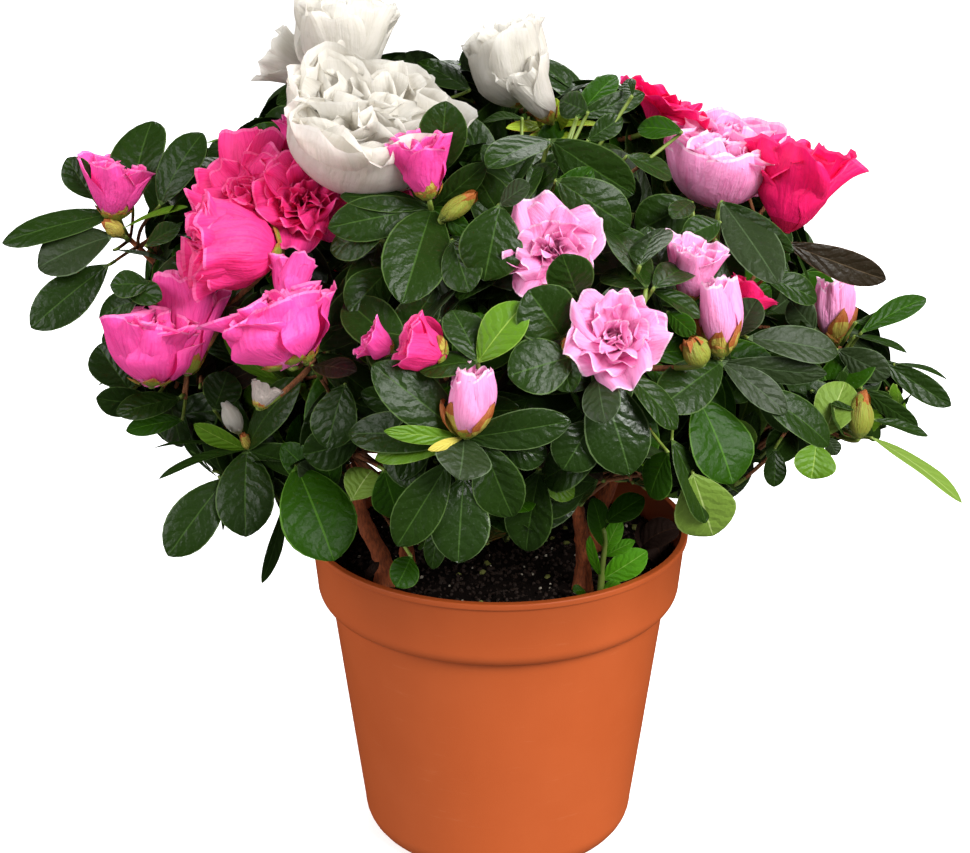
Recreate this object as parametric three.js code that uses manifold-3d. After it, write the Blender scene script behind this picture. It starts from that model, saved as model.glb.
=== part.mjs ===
// A potted azalea in bloom: a plastic nursery pot filled with peat, five woody stems that fork into
// boughs, and a dome of separate leaf and blossom masses round an open, twiggy middle.
// Millimetres, +Z up. The origin is the centre of the pot's flat underside, and the front is -Y.
import * as THREE from "three";
import { mergeVertices } from "three/addons/utils/BufferGeometryUtils.js";
import Module from "manifold-3d";

const wasm = await Module();
wasm.setup();

// ---- driving dimensions --------------------------------------------------------------------------
const GAP = 0.3; // clearance between neighbouring solids
const ROUND_SEGMENTS = 32; // facets round the pot and the soil

const POT = {
  height: 112.5,
  wall: 1.6,
  floor: 2.4,
  footRadius: 40, // flat that stands on the table
  cornerRise: 9, // height of the rounded foot corner
  baseRadius: 47.6, // body just above the rounded foot
  shoulderRadius: 57.8, // body just under the rim band
  bandRadius: 62.4, // rim band at its foot
  rimRadius: 65, // outside of the lip
  bandFoot: 88, // height of the rim band's rounded foot
  bandRound: 4.5, // rise of that rounding
  lipHeight: 2.2,
  lipStep: 0.9, // how far the lip stands proud of the band
  drainHoles: 6,
  drainRadius: 4.5,
  drainRing: 27,
};

const SOIL_TOP = 102;

// Stems: foot on the soil [x, y], fork point [x, y, z], and radii at the foot and the fork.
const STEMS = {
  stem_left: { foot: [-38, -25], fork: [-46, -18, 158], foot_r: 3.0, fork_r: 1.9 },
  stem_left_leaning: { foot: [-31, -15], fork: [-20, -38, 166], foot_r: 2.1, fork_r: 1.5 },
  stem_right: { foot: [28, -28], fork: [17, -34, 160], foot_r: 2.5, fork_r: 1.7 },
  stem_right_rear: { foot: [33, 6], fork: [38, 2, 164], foot_r: 2.6, fork_r: 1.8 },
  stem_rear: { foot: [-6, 28], fork: [-2, 36, 168], foot_r: 2.8, fork_r: 1.9 },
};
const STEM_SPARE = 3; // length below the soil that the flat ground cut takes off
const STEM_UPRIGHT = 6; // height over which a stem leaves the soil straight up
const STEM_BOW = 5; // sideways bow of a stem halfway up
const FLARE = 0.9; // extra share of radius at the root flare
const FLARE_HEIGHT = 0.12; // share of a stem's length that flares
const STEM_FACETS = { sides: 7, steps: 6 };
const BOUGH_FOOT_R = 1.5;
const BOUGH_TIP_R = 0.9;
const BOUGH_BITE = 9; // how far a bough's tip goes into its mass
const BOUGH_FACETS = { sides: 5, steps: 4 };
const BOUGH_DROP = 4; // how far under the stem's fork point a bough leaves
const BOUGH_SAG = 0.06; // droop of a bough at midspan, as a share of its length

// Masses of foliage and blossom. Bearing is degrees round the pot's axis, 0 at the front and 90 at the
// right. Reach is the distance from that axis to the middle of the mass, and height its level above
// the table. Half sizes run across (round the crown), deep (outwards) and tall. A mass with "from" is
// fed by a bough of that stem.
const MASSES = {
  left_tip: { bearing: -86, reach: 126, height: 221, half: [31, 37, 35], from: "stem_left" },
  left_upper: { bearing: -67, reach: 84, height: 236, half: [30, 29, 27] },
  left_mid: { bearing: -54, reach: 106, height: 212, half: [28, 27, 29], from: "stem_left" },
  left_low: { bearing: -67, reach: 119, height: 186, half: [28, 28, 28] },
  low_left: { bearing: -53, reach: 102, height: 153, half: [28, 29, 33], from: "stem_left" },
  front_left: { bearing: -33, reach: 105, height: 204, half: [27, 27, 30], from: "stem_left_leaning" },
  centre_left: { bearing: -30, reach: 62, height: 237, half: [33, 31, 29] },
  front_low_left: { bearing: -25, reach: 103, height: 166, half: [28, 25, 30] },
  front_mid: { bearing: -8, reach: 112, height: 200, half: [29, 27, 32], from: "stem_left_leaning" },
  front_low_mid: { bearing: -3, reach: 95, height: 157, half: [27, 22, 27] },
  centre: { bearing: 6, reach: 72, height: 235, half: [31, 30, 30], from: "stem_left_leaning" },
  front_centre: { bearing: 15, reach: 110, height: 209, half: [28, 27, 30], from: "stem_right" },
  front_low_right: { bearing: 25, reach: 103, height: 169, half: [31, 27, 31], from: "stem_right" },
  right_front: { bearing: 40, reach: 99, height: 213, half: [30, 29, 32], from: "stem_right" },
  right_low: { bearing: 58, reach: 110, height: 170, half: [30, 30, 28] },
  right_tip: { bearing: 81, reach: 126, height: 168, half: [33, 33, 37], from: "stem_right_rear" },
  right_upper: { bearing: 78, reach: 86, height: 232, half: [33, 35, 32], from: "stem_right_rear" },
  top_right: { bearing: 84, reach: 42, height: 250, half: [29, 30, 29] },
  top_mid: { bearing: 150, reach: 6, height: 262, half: [29, 29, 36], from: "stem_right_rear" },
  top_left: { bearing: -90, reach: 46, height: 263, half: [33, 33, 37], from: "stem_left" },
  top_rear: { bearing: 180, reach: 44, height: 254, half: [40, 32, 32], from: "stem_rear" },
  rear_left: { bearing: -130, reach: 90, height: 226, half: [42, 38, 36], from: "stem_rear" },
  rear: { bearing: 180, reach: 92, height: 222, half: [42, 34, 36] },
  rear_right: { bearing: 130, reach: 90, height: 224, half: [42, 38, 36], from: "stem_rear" },
  left_rear_low: { bearing: -110, reach: 118, height: 176, half: [40, 32, 35], from: "stem_rear" },
  rear_low_left: { bearing: -157, reach: 110, height: 171, half: [44, 32, 34], from: "stem_rear" },
  rear_low_right: { bearing: 156, reach: 110, height: 172, half: [44, 32, 34] },
  right_rear_low: { bearing: 111, reach: 118, height: 176, half: [40, 32, 35], from: "stem_rear" },
};
// The masses that are mostly blossom, with its colour.
const BLOOMS = {
  top_left: "white",
  top_mid: "white",
  left_upper: "hotPink",
  left_mid: "hotPink",
  front_left: "hotPink",
  right_upper: "palePink",
  centre: "palePink",
  front_centre: "palePink",
  top_right: "crimson",
};
const MASS_DETAIL = 2; // subdivisions of each mass's icosahedron
const FINENESS = 1.2; // facets that differ by less are joined
const LUMPS = 10; // leafy lumps on each mass
const LUMP_RISE = 0.24; // height of a lump over the hollows, as a share of the radius
const HOLLOW = 0.86; // radius in the hollows between lumps
const LUMP_WIDTH = 0.13; // how broad a lump is, as 1 - cos of the angle where it has fallen to a third

// The young shoot at a stem's foot: where it stands on the soil, and its half sizes.
const BASAL_SHOOT = { foot: [38, -36], half: [8, 7, 14] };
const SHOOT_RAISE = 0.8; // share of its half height from the soil to its middle
const SHOOT_DETAIL = 1; // subdivisions of its icosahedron

// ---- materials -----------------------------------------------------------------------------------
const finish = (color, roughness) => new THREE.MeshStandardMaterial({ color, roughness, metalness: 0 });
const MATERIALS = {
  plastic: finish(0xc4602f, 0.42),
  peat: finish(0x1d1410, 0.95),
  bark: finish(0x6b3a25, 0.8),
  foliage: finish(0x1f3d1a, 0.55),
  young: finish(0x6fae2c, 0.5),
  white: finish(0xf2efe4, 0.6),
  hotPink: finish(0xe8308a, 0.6),
  palePink: finish(0xf29ccb, 0.6),
  crimson: finish(0xd31440, 0.6),
};

// ---- solids --------------------------------------------------------------------------------------
function solidOf(geometry) {
  const bare = geometry.clone();
  for (const name of ["normal", "uv"]) bare.deleteAttribute(name);
  const merged = mergeVertices(bare, 1e-3);
  return new wasm.Manifold(
    new wasm.Mesh({
      numProp: 3,
      vertProperties: merged.attributes.position.array,
      triVerts: new Uint32Array(merged.index.array),
    }),
  );
}

function meshOf(name, solid, material) {
  const made = solid.getMesh();
  const geometry = new THREE.BufferGeometry()
    .setAttribute("position", new THREE.BufferAttribute(made.vertProperties, 3))
    .setIndex(new THREE.BufferAttribute(made.triVerts, 1));
  geometry.computeVertexNormals();
  const mesh = new THREE.Mesh(geometry, material);
  mesh.name = name;
  return mesh;
}

// The piece of a cut solid that holds most of its volume.
function largest(solid) {
  return solid.decompose().reduce((a, b) => (b.volume() > a.volume() ? b : a));
}

// A small generator of repeatable random numbers from 0 to 1, started by a name.
function seeded(name) {
  let state = [...name].reduce((sum, c) => Math.imul(sum, 31) + c.charCodeAt(0), 7) >>> 0;
  return () => {
    state = (Math.imul(state, 1664525) + 1013904223) >>> 0;
    return state / 2 ** 32;
  };
}

// ---- pot and soil --------------------------------------------------------------------------------
function turned(profile) {
  const points = profile.map(([r, z]) => new THREE.Vector2(r, z));
  return new THREE.LatheGeometry(points, ROUND_SEGMENTS).rotateX(Math.PI / 2);
}

const bodyRadius = (z) =>
  POT.baseRadius +
  ((POT.shoulderRadius - POT.baseRadius) * (z - POT.cornerRise)) / (POT.bandFoot - POT.cornerRise);

function pot() {
  const { height, wall, floor, cornerRise, bandFoot, bandRound, lipHeight, lipStep } = POT;
  const bandTop = POT.rimRadius - lipStep;
  const insideShoulder = bandFoot + bandRound + wall;
  const profile = [
    [0, 0],
    [POT.footRadius, 0],
    [POT.baseRadius - 2, cornerRise * 0.35],
    [POT.baseRadius, cornerRise],
    [POT.shoulderRadius, bandFoot],
    [POT.bandRadius - 1.2, bandFoot + bandRound * 0.35],
    [POT.bandRadius, bandFoot + bandRound],
    [bandTop, height - lipHeight],
    [POT.rimRadius, height - lipHeight],
    [POT.rimRadius, height],
    [bandTop - wall, height],
    [POT.bandRadius - wall, insideShoulder],
    [bodyRadius(bandFoot) - wall, bandFoot],
    [POT.baseRadius - wall, cornerRise],
    [POT.footRadius, floor],
    [0, floor],
  ];
  let solid = solidOf(turned(profile));
  for (let i = 0; i < POT.drainHoles; i++) {
    const angle = ((i + 0.5) / POT.drainHoles) * 2 * Math.PI;
    const drill = new THREE.CylinderGeometry(POT.drainRadius, POT.drainRadius, 4 * floor, 8)
      .rotateX(Math.PI / 2)
      .translate(POT.drainRing * Math.cos(angle), POT.drainRing * Math.sin(angle), 0);
    solid = solid.subtract(solidOf(drill));
  }
  return solid;
}

// The peat fills the pot to its level, GAP clear of the wall all round.
function soil() {
  const { wall, floor, cornerRise, bandFoot, bandRound } = POT;
  const inside = wall + GAP;
  const shoulder = bandFoot + bandRound + wall;
  const slope = (POT.rimRadius - POT.lipStep - POT.bandRadius) / (POT.height - shoulder);
  const profile = [
    [0, floor + GAP],
    [POT.footRadius - GAP, floor + GAP],
    [POT.baseRadius - inside - GAP, cornerRise + GAP],
    [bodyRadius(bandFoot) - inside - GAP, bandFoot + GAP],
    [POT.bandRadius - inside, shoulder + GAP],
    [POT.bandRadius - inside + slope * (SOIL_TOP - shoulder), SOIL_TOP],
    [0, SOIL_TOP],
  ];
  return solidOf(turned(profile));
}

// ---- stems and boughs ----------------------------------------------------------------------------
// A round limb bent along a curve: radius(t) is its radius at share t of its length.
function limb(points, radius, { sides, steps }) {
  const curve = new THREE.CatmullRomCurve3(points);
  const frames = curve.computeFrenetFrames(steps);
  const geometry = new THREE.CylinderGeometry(1, 1, 1, sides, steps);
  const position = geometry.attributes.position;
  const vertex = new THREE.Vector3();
  for (let i = 0; i < position.count; i++) {
    vertex.fromBufferAttribute(position, i);
    const t = vertex.y + 0.5;
    const ring = Math.round(t * steps);
    const across = frames.normals[ring].clone().multiplyScalar(vertex.x * radius(t));
    const aside = frames.binormals[ring].clone().multiplyScalar(-vertex.z * radius(t));
    vertex.copy(curve.getPointAt(t)).add(across).add(aside);
    position.setXYZ(i, vertex.x, vertex.y, vertex.z);
  }
  return solidOf(geometry);
}

const taper = (from, to) => (t) => from + (to - from) * t;

function stemPoints({ foot, fork }) {
  const base = new THREE.Vector3(foot[0], foot[1], SOIL_TOP - STEM_SPARE);
  const top = new THREE.Vector3(...fork);
  const bow = new THREE.Vector3(foot[0], foot[1], 0).normalize().multiplyScalar(STEM_BOW);
  return [
    base,
    base.clone().setZ(SOIL_TOP + STEM_UPRIGHT),
    base.clone().lerp(top, 0.5).add(bow),
    top,
  ];
}

function stem(spec, extra = 0) {
  const straight = taper(spec.foot_r, spec.fork_r);
  const radius = (t) => {
    const flare = Math.max(0, 1 - t / FLARE_HEIGHT);
    return straight(t) * (1 + FLARE * flare * flare) + extra;
  };
  const ground = extra ? SOIL_TOP - 1 : SOIL_TOP + GAP;
  return limb(stemPoints(spec), radius, STEM_FACETS).trimByPlane([0, 0, 1], ground);
}

const massCentre = ({ bearing, reach, height }) => {
  const angle = (bearing * Math.PI) / 180;
  return new THREE.Vector3(reach * Math.sin(angle), -reach * Math.cos(angle), height);
};

// A bough leaves its stem BOUGH_DROP under the fork and ends BOUGH_BITE inside its mass.
function boughPoints(mass) {
  const from = new THREE.Vector3(...STEMS[mass.from].fork).add(new THREE.Vector3(0, 0, -BOUGH_DROP));
  const to = massCentre(mass);
  const way = to.clone().sub(from);
  const depth = Math.min(...mass.half) - BOUGH_BITE;
  const tip = to.clone().sub(way.clone().setLength(depth));
  const droop = new THREE.Vector3(0, 0, -BOUGH_SAG * way.length());
  return [from, from.clone().lerp(tip, 0.5).add(droop), tip];
}

function bough(mass, extra = 0) {
  return limb(boughPoints(mass), taper(BOUGH_FOOT_R + extra, BOUGH_TIP_R + extra), BOUGH_FACETS);
}

// ---- masses --------------------------------------------------------------------------------------
const GOLDEN_ANGLE = Math.PI * (3 - Math.sqrt(5));

// A closed, lumpy solid: an icosahedron with leafy lumps, stretched to its half sizes and turned to
// face outwards from the pot's axis.
function lumpySolid(name, half, detail) {
  const random = seeded(name);
  const start = random() * 2 * Math.PI;
  const lumps = Array.from({ length: LUMPS }, (_, k) => {
    const level = 1 - (2 * (k + 0.2 + 0.6 * random())) / LUMPS;
    const turn = start + k * GOLDEN_ANGLE + 0.4 * random();
    const out = Math.sqrt(1 - level * level);
    return new THREE.Vector3(out * Math.cos(turn), out * Math.sin(turn), level);
  });
  const geometry = mergeVertices(new THREE.IcosahedronGeometry(1, detail).deleteAttribute("uv"), 1e-4);
  const position = geometry.attributes.position;
  const vertex = new THREE.Vector3();
  for (let i = 0; i < position.count; i++) {
    vertex.fromBufferAttribute(position, i);
    const nearest = Math.max(...lumps.map((lump) => vertex.dot(lump)));
    vertex.multiplyScalar(HOLLOW + LUMP_RISE * Math.exp((nearest - 1) / LUMP_WIDTH));
    position.setXYZ(i, vertex.x * half[0], vertex.y * half[1], vertex.z * half[2]);
  }
  return geometry;
}

function mass(name, spec) {
  const centre = massCentre(spec);
  const geometry = lumpySolid(name, spec.half, MASS_DETAIL)
    .rotateZ((spec.bearing * Math.PI) / 180)
    .translate(centre.x, centre.y, centre.z);
  return solidOf(geometry).simplify(FINENESS);
}

// Radius of a mass's ellipsoid along a direction.
function radiusTowards({ bearing, half }, direction) {
  const local = direction.clone().applyAxisAngle(new THREE.Vector3(0, 0, 1), (-bearing * Math.PI) / 180);
  return 1 / Math.hypot(local.x / half[0], local.y / half[1], local.z / half[2]);
}

// Two masses share a flat seam where they meet, each half a gap back from it. The seam of masses that
// lie apart is past the ends of both.
function cutAtSeams(solid, spec, others) {
  const centre = massCentre(spec);
  let cut = solid;
  for (const other of others) {
    const way = massCentre(other).sub(centre);
    const distance = way.length();
    const outward = way.clone().normalize();
    const own = radiusTowards(spec, outward);
    const theirs = radiusTowards(other, outward.clone().negate());
    const seam = (distance * distance + own * own - theirs * theirs) / (2 * distance);
    const level = outward.dot(centre) + seam - GAP / 2;
    cut = cut.trimByPlane(outward.clone().negate().toArray(), -level);
  }
  return cut;
}

// ---- the shrub -----------------------------------------------------------------------------------
const shrub = new THREE.Group();
const add = (name, solid, material) => shrub.add(meshOf(name, solid, material));

add("pot", pot(), MATERIALS.plastic);
add("soil", soil(), MATERIALS.peat);

const limbs = []; // each limb, grown by GAP, to clear whatever it meets
for (const [name, spec] of Object.entries(STEMS)) {
  const solid = limbs.reduce((rest, earlier) => rest.subtract(earlier), stem(spec));
  add(name, largest(solid), MATERIALS.bark);
  limbs.push(stem(spec, GAP));
}
for (const [name, spec] of Object.entries(MASSES)) {
  if (!spec.from) continue;
  const solid = limbs.reduce((rest, earlier) => rest.subtract(earlier), bough(spec));
  add("bough_" + name, largest(solid), MATERIALS.bark);
  limbs.push(bough(spec, GAP));
}

const specs = Object.values(MASSES);
for (const [name, spec] of Object.entries(MASSES)) {
  const others = specs.filter((other) => other !== spec);
  const whole = cutAtSeams(mass(name, spec), spec, others);
  const socketed = limbs.reduce((rest, branch) => rest.subtract(branch), whole);
  add("mass_" + name, largest(socketed), MATERIALS[BLOOMS[name] ?? "foliage"]);
}

const shootFoot = new THREE.Vector3(...BASAL_SHOOT.foot, SOIL_TOP + GAP);
const shootGeometry = lumpySolid("basal_shoot", BASAL_SHOOT.half, SHOOT_DETAIL).translate(
  shootFoot.x,
  shootFoot.y,
  shootFoot.z + BASAL_SHOOT.half[2] * 0.8,
);
add("basal_shoot", solidOf(shootGeometry).trimByPlane([0, 0, 1], shootFoot.z), MATERIALS.young);

export default shrub;
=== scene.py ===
# A dwarf azalea in bloom in its plastic nursery pot: five woody stems rise from bare peat and fork into
# boughs, and twigs, leaves and double blossom grow on from them into a low spreading dome.
import math

import bmesh
import bpy
import numpy as np
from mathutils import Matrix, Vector
from mathutils.bvhtree import BVHTree


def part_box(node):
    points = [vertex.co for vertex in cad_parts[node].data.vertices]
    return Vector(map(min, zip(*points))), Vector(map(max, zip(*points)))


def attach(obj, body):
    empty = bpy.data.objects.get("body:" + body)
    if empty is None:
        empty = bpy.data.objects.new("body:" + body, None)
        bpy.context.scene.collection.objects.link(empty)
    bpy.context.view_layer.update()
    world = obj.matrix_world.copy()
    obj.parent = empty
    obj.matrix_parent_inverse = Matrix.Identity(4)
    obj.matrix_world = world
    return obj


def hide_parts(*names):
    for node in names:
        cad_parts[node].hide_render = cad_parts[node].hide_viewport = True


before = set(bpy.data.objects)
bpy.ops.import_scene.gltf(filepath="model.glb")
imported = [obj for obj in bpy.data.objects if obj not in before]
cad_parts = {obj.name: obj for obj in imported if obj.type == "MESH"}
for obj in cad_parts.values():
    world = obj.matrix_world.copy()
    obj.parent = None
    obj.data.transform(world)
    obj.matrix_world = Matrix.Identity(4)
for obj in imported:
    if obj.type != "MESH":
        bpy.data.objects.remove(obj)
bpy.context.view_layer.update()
MM = 0.001


# ---- Camera, lamps and floor ----------------------------------------------------------------------
# A long lens looks down at the plant from 70 cm away, under a large soft lamp on the right, a weaker
# one on the left and a pale sky. The floor is a plain pale sheet.
VIEW_SIZE = (970, 853)
FOCAL_PIXELS = 2071.75
SENSOR_WIDTH = 36
CAMERA_PLACE = Vector((-4.62, -654.9, 395.28)) * MM
CAMERA_DIP = math.radians(20.68)

camera_data = bpy.data.cameras.new("camera")
camera_data.sensor_width = SENSOR_WIDTH
camera_data.lens = FOCAL_PIXELS / VIEW_SIZE[0] * SENSOR_WIDTH
camera_data.clip_start = 0.01
camera = bpy.data.objects.new("camera", camera_data)
camera.location = CAMERA_PLACE
camera.rotation_euler = (math.pi / 2 - CAMERA_DIP, 0, 0)
bpy.context.scene.collection.objects.link(camera)
bpy.context.scene.camera = camera

AHEAD = Vector((0, math.cos(CAMERA_DIP), -math.sin(CAMERA_DIP)))
ABOVE = Vector((0, math.sin(CAMERA_DIP), math.cos(CAMERA_DIP)))
RIGHT = Vector((1, 0, 0))


def sight_line(x, y):
    """The unit direction in which the camera sees the point (x, y) of its view."""
    across = (x - VIEW_SIZE[0] / 2) / FOCAL_PIXELS
    down = (y - VIEW_SIZE[1] / 2) / FOCAL_PIXELS
    return (AHEAD + RIGHT * across - ABOVE * down).normalized()


def seen_points(points):
    """Where the camera sees an array of points: across and down its view, and how far away."""
    away = np.asarray(points) - np.array(CAMERA_PLACE)
    distance = away @ np.array(AHEAD)
    across = VIEW_SIZE[0] / 2 + FOCAL_PIXELS * (away @ np.array(RIGHT)) / distance
    down = VIEW_SIZE[1] / 2 - FOCAL_PIXELS * (away @ np.array(ABOVE)) / distance
    return np.stack([across, down, distance], -1)


class Wire:
    """A node socket. Python's operators on it add Math nodes to its tree."""

    def __init__(self, tree, socket):
        self.tree = tree
        self.socket = socket

    def math(self, operation, *values):
        """Adds one Math node over its values."""
        return self.tree.add("ShaderNodeMath", {"operation": operation}, values)

    def __add__(self, other):
        return self.math("ADD", self, other)

    def __radd__(self, other):
        return self.math("ADD", other, self)

    def __sub__(self, other):
        return self.math("SUBTRACT", self, other)

    def __rsub__(self, other):
        return self.math("SUBTRACT", other, self)

    def __mul__(self, other):
        return self.math("MULTIPLY", self, other)

    def __rmul__(self, other):
        return self.math("MULTIPLY", other, self)


class Tree:
    """A shader or geometry node tree that is built by expressions."""

    def __init__(self, tree):
        self.tree = tree

    def add(self, kind, settings=None, inputs=(), output=0):
        """Adds a node: its settings first, then the values or wires of its sockets."""
        node = self.tree.nodes.new(kind)
        for name, value in (settings or {}).items():
            setattr(node, name, value)
        pairs = inputs.items() if isinstance(inputs, dict) else enumerate(inputs)
        for slot, value in pairs:
            if isinstance(value, Wire):
                self.tree.links.new(value.socket, node.inputs[slot])
            else:
                node.inputs[slot].default_value = value
        return Wire(self, node.outputs[output]) if len(node.outputs) else None

    def mixed(self, share, first, second):
        """A colour between two colours."""
        first, second = [c if isinstance(c, Wire) else (*c, 1) for c in (first, second)]
        inputs = {0: share, 6: first, 7: second}
        return self.add("ShaderNodeMix", {"data_type": "RGBA"}, inputs, output=2)

    def noise(self, place, scale, detail=4, roughness=0.55):
        """Even noise from 0 to 1 over a place socket, so many waves to the metre."""
        inputs = {"Vector": place, "Scale": scale, "Detail": detail, "Roughness": roughness}
        return self.add("ShaderNodeTexNoise", None, inputs)

    def scaled(self, place, factors):
        """A place with each axis stretched by its own factor."""
        return self.add("ShaderNodeVectorMath", {"operation": "MULTIPLY"}, [place, factors])

    def place(self):
        """The place on the piece, in metres."""
        return self.add("ShaderNodeTexCoord", output="Object")

    def span(self, value, low, high, first=0.0, last=1.0):
        """Runs from first to last while a value runs from low to high."""
        return self.add("ShaderNodeMapRange", None, [value, low, high, first, last])

    def bump(self, height, strength, distance):
        """A bumped surface direction from a height."""
        inputs = {"Height": height, "Strength": strength, "Distance": distance}
        return self.add("ShaderNodeBump", None, inputs)


def shade(code):
    """The linear colour of a six-digit web colour."""
    parts = [int(code[k : k + 2], 16) / 255 for k in (0, 2, 4)]
    return tuple(p / 12.92 if p <= 0.04045 else ((p + 0.055) / 1.055) ** 2.4 for p in parts)


def new_finish(name):
    """An empty material, and its tree."""
    material = bpy.data.materials.new(name)
    material.use_nodes = True
    material.node_tree.nodes.clear()
    return material, Tree(material.node_tree)


def close_finish(tree, colour, roughness, normal=None, shine=0.5, through=0.0, glow=0.0):
    """Ends a material in a Principled surface, with some light let through a thin sheet."""
    inputs = {"Base Color": colour, "Roughness": roughness, "Specular IOR Level": shine}
    if normal:
        inputs["Normal"] = normal
    if glow:
        inputs |= {"Emission Color": colour, "Emission Strength": glow}
    surface = tree.add("ShaderNodeBsdfPrincipled", None, inputs)
    if through:
        light = tree.add("ShaderNodeBsdfTranslucent", None, {"Color": colour})
        surface = tree.add("ShaderNodeMixShader", None, [through, surface, light])
    tree.add("ShaderNodeOutputMaterial", None, {"Surface": surface})


def piece_from(name, vertices, faces, smooth=True):
    """A new mesh object from vertices in metres and faces."""
    mesh = bpy.data.meshes.new(name)
    mesh.from_pydata(np.asarray(vertices).tolist(), [], faces)
    mesh.polygons.foreach_set("use_smooth", [smooth] * len(mesh.polygons))
    piece = bpy.data.objects.new(name, mesh)
    bpy.context.scene.collection.objects.link(piece)
    return piece


FLOOR_HALF = 12.0
corners = [(x * FLOOR_HALF, y * FLOOR_HALF, 0) for x, y in ((-1, -1), (1, -1), (1, 1), (-1, 1))]
floor = piece_from("floor", corners, [(0, 1, 2, 3)], smooth=False)
floor_finish, tree = new_finish("floor")
close_finish(tree, (*shade("fafafa"), 1), 0.9, glow=0.5)
floor.data.materials.append(floor_finish)
floor.visible_diffuse = False
floor.visible_glossy = False

LAMP_AIM = Vector((0, 0, 0.16))
LAMPS = {
    "lamp_right": {"place": (0.75, -0.75, 0.95), "size": 0.7, "power": 31},
    "lamp_left": {"place": (-1.1, -0.6, 0.8), "size": 0.7, "power": 12},
    "lamp_behind": {"place": (0.1, 0.9, 1.1), "size": 0.8, "power": 11},
}
for name, lamp in LAMPS.items():
    lamp_data = bpy.data.lights.new(name, "AREA")
    lamp_data.size = lamp["size"]
    lamp_data.energy = lamp["power"]
    lamp_object = bpy.data.objects.new(name, lamp_data)
    lamp_object.location = lamp["place"]
    aim = LAMP_AIM - lamp_object.location
    lamp_object.rotation_euler = aim.to_track_quat("-Z", "Y").to_euler()
    bpy.context.scene.collection.objects.link(lamp_object)

world = bpy.data.worlds.new("studio")
world.use_nodes = True
SKY_STRENGTH = 0.55
world.node_tree.nodes["Background"].inputs["Color"].default_value = (*shade("fbfbfb"), 1)
world.node_tree.nodes["Background"].inputs["Strength"].default_value = SKY_STRENGTH
bpy.context.scene.world = world
world.cycles_visibility.glossy = False
bpy.context.scene.view_settings.view_transform = "Standard"
bpy.context.scene.view_settings.look = "None"


# ---- Pot ------------------------------------------------------------------------------------------
# An injection-moulded nursery pot of thin terracotta-coloured plastic, one spun shell with a rounded
# foot, a rim band, a lip and six drain holes. Its satin skin is faintly mottled and scuffed.
POT_FOOT_FLAT = 40.0
POT_BASE_R = 47.6
POT_SHOULDER_R = 57.8
POT_BAND_R = 62.4
POT_BAND_TOP_R = 64.1
POT_CORNER = 9.0
POT_BAND_FOOT = 88.0
POT_BAND_ROUND = 5.5
POT_WALL = 1.6
POT_FLOOR = 2.4
LIP_HEIGHT = 2.2
LIP_SOFT = 0.5
DRAIN_HOLES = 6
DRAIN_R = 4.5
DRAIN_RING = 27.0
POT_TURN = 128
pot_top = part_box("pot")[1].z / MM
pot_rim_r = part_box("pot")[1].x / MM


def arc(centre, radii, start, end, steps):
    """Points of a round or oval stretch of a profile, between two angles in degrees."""
    angles = np.radians(np.linspace(start, end, steps))
    return [(centre[0] + radii[0] * math.cos(a), centre[1] + radii[1] * math.sin(a)) for a in angles]


def ring_faces(rings, turns):
    """The faces between rings of as many points each, in order from one end to the other."""
    faces = []
    for low in range(0, (rings - 1) * turns, turns):
        for k in range(turns):
            step = (k + 1) % turns
            faces.append((low + k, low + step, low + turns + step, low + turns + k))
    return faces


def spin(profile, turns):
    """Vertices and faces of a profile of (radius, height) in mm, spun about the upright axis."""
    profile = np.array(profile)
    angles = np.arange(turns) * 2 * math.pi / turns
    ring = np.stack([np.cos(angles), np.sin(angles)], -1)
    points = profile[:, 0][:, None, None] * ring[None]
    heights = np.repeat(profile[:, 1][:, None, None], turns, 1)
    return np.concatenate([points, heights], -1).reshape(-1, 3), ring_faces(len(profile), turns)


def sealed(piece, distance=1e-6):
    """Merges a mesh's doubles and turns its faces outwards."""
    shell = bmesh.new()
    shell.from_mesh(piece.data)
    bmesh.ops.remove_doubles(shell, verts=shell.verts, dist=distance)
    bmesh.ops.dissolve_degenerate(shell, edges=shell.edges, dist=distance)
    bmesh.ops.recalc_face_normals(shell, faces=shell.faces)
    shell.to_mesh(piece.data)
    shell.free()


inside_band_r = POT_BAND_R - POT_WALL
band_round_top = POT_BAND_FOOT + POT_BAND_ROUND
pot_profile = [
    (0.0, 0.0),
    (POT_FOOT_FLAT * 0.5, 0.0),
    (POT_FOOT_FLAT, 0.0),
    *arc((POT_FOOT_FLAT, POT_CORNER), (POT_BASE_R - POT_FOOT_FLAT, POT_CORNER), -80, -5, 8),
    (POT_BASE_R, POT_CORNER),
    (POT_BASE_R + 3.4, POT_CORNER + 26),
    (POT_BASE_R + 6.8, POT_CORNER + 52.6),
    (POT_SHOULDER_R, POT_BAND_FOOT),
    (POT_SHOULDER_R + 0.25, POT_BAND_FOOT - 0.15),
    *arc((POT_SHOULDER_R, band_round_top), (POT_BAND_R - POT_SHOULDER_R, POT_BAND_ROUND), -75, 0, 8),
    (POT_BAND_TOP_R - 0.1, pot_top - LIP_HEIGHT - 0.4),
    (POT_BAND_TOP_R, pot_top - LIP_HEIGHT),
    *arc((pot_rim_r - LIP_SOFT, pot_top - LIP_HEIGHT + LIP_SOFT), (LIP_SOFT, LIP_SOFT), -90, 0, 4),
    *arc((pot_rim_r - LIP_SOFT, pot_top - LIP_SOFT), (LIP_SOFT, LIP_SOFT), 0, 90, 5),
    (POT_BAND_TOP_R - POT_WALL + 0.3, pot_top),
    (POT_BAND_TOP_R - POT_WALL, pot_top - 0.4),
    (inside_band_r, band_round_top + POT_WALL),
    (POT_SHOULDER_R - POT_WALL, POT_BAND_FOOT),
    (POT_BASE_R - POT_WALL, POT_CORNER),
    (POT_FOOT_FLAT, POT_FLOOR),
    (0.0, POT_FLOOR),
]
vertices, faces = spin(pot_profile, POT_TURN)
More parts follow.
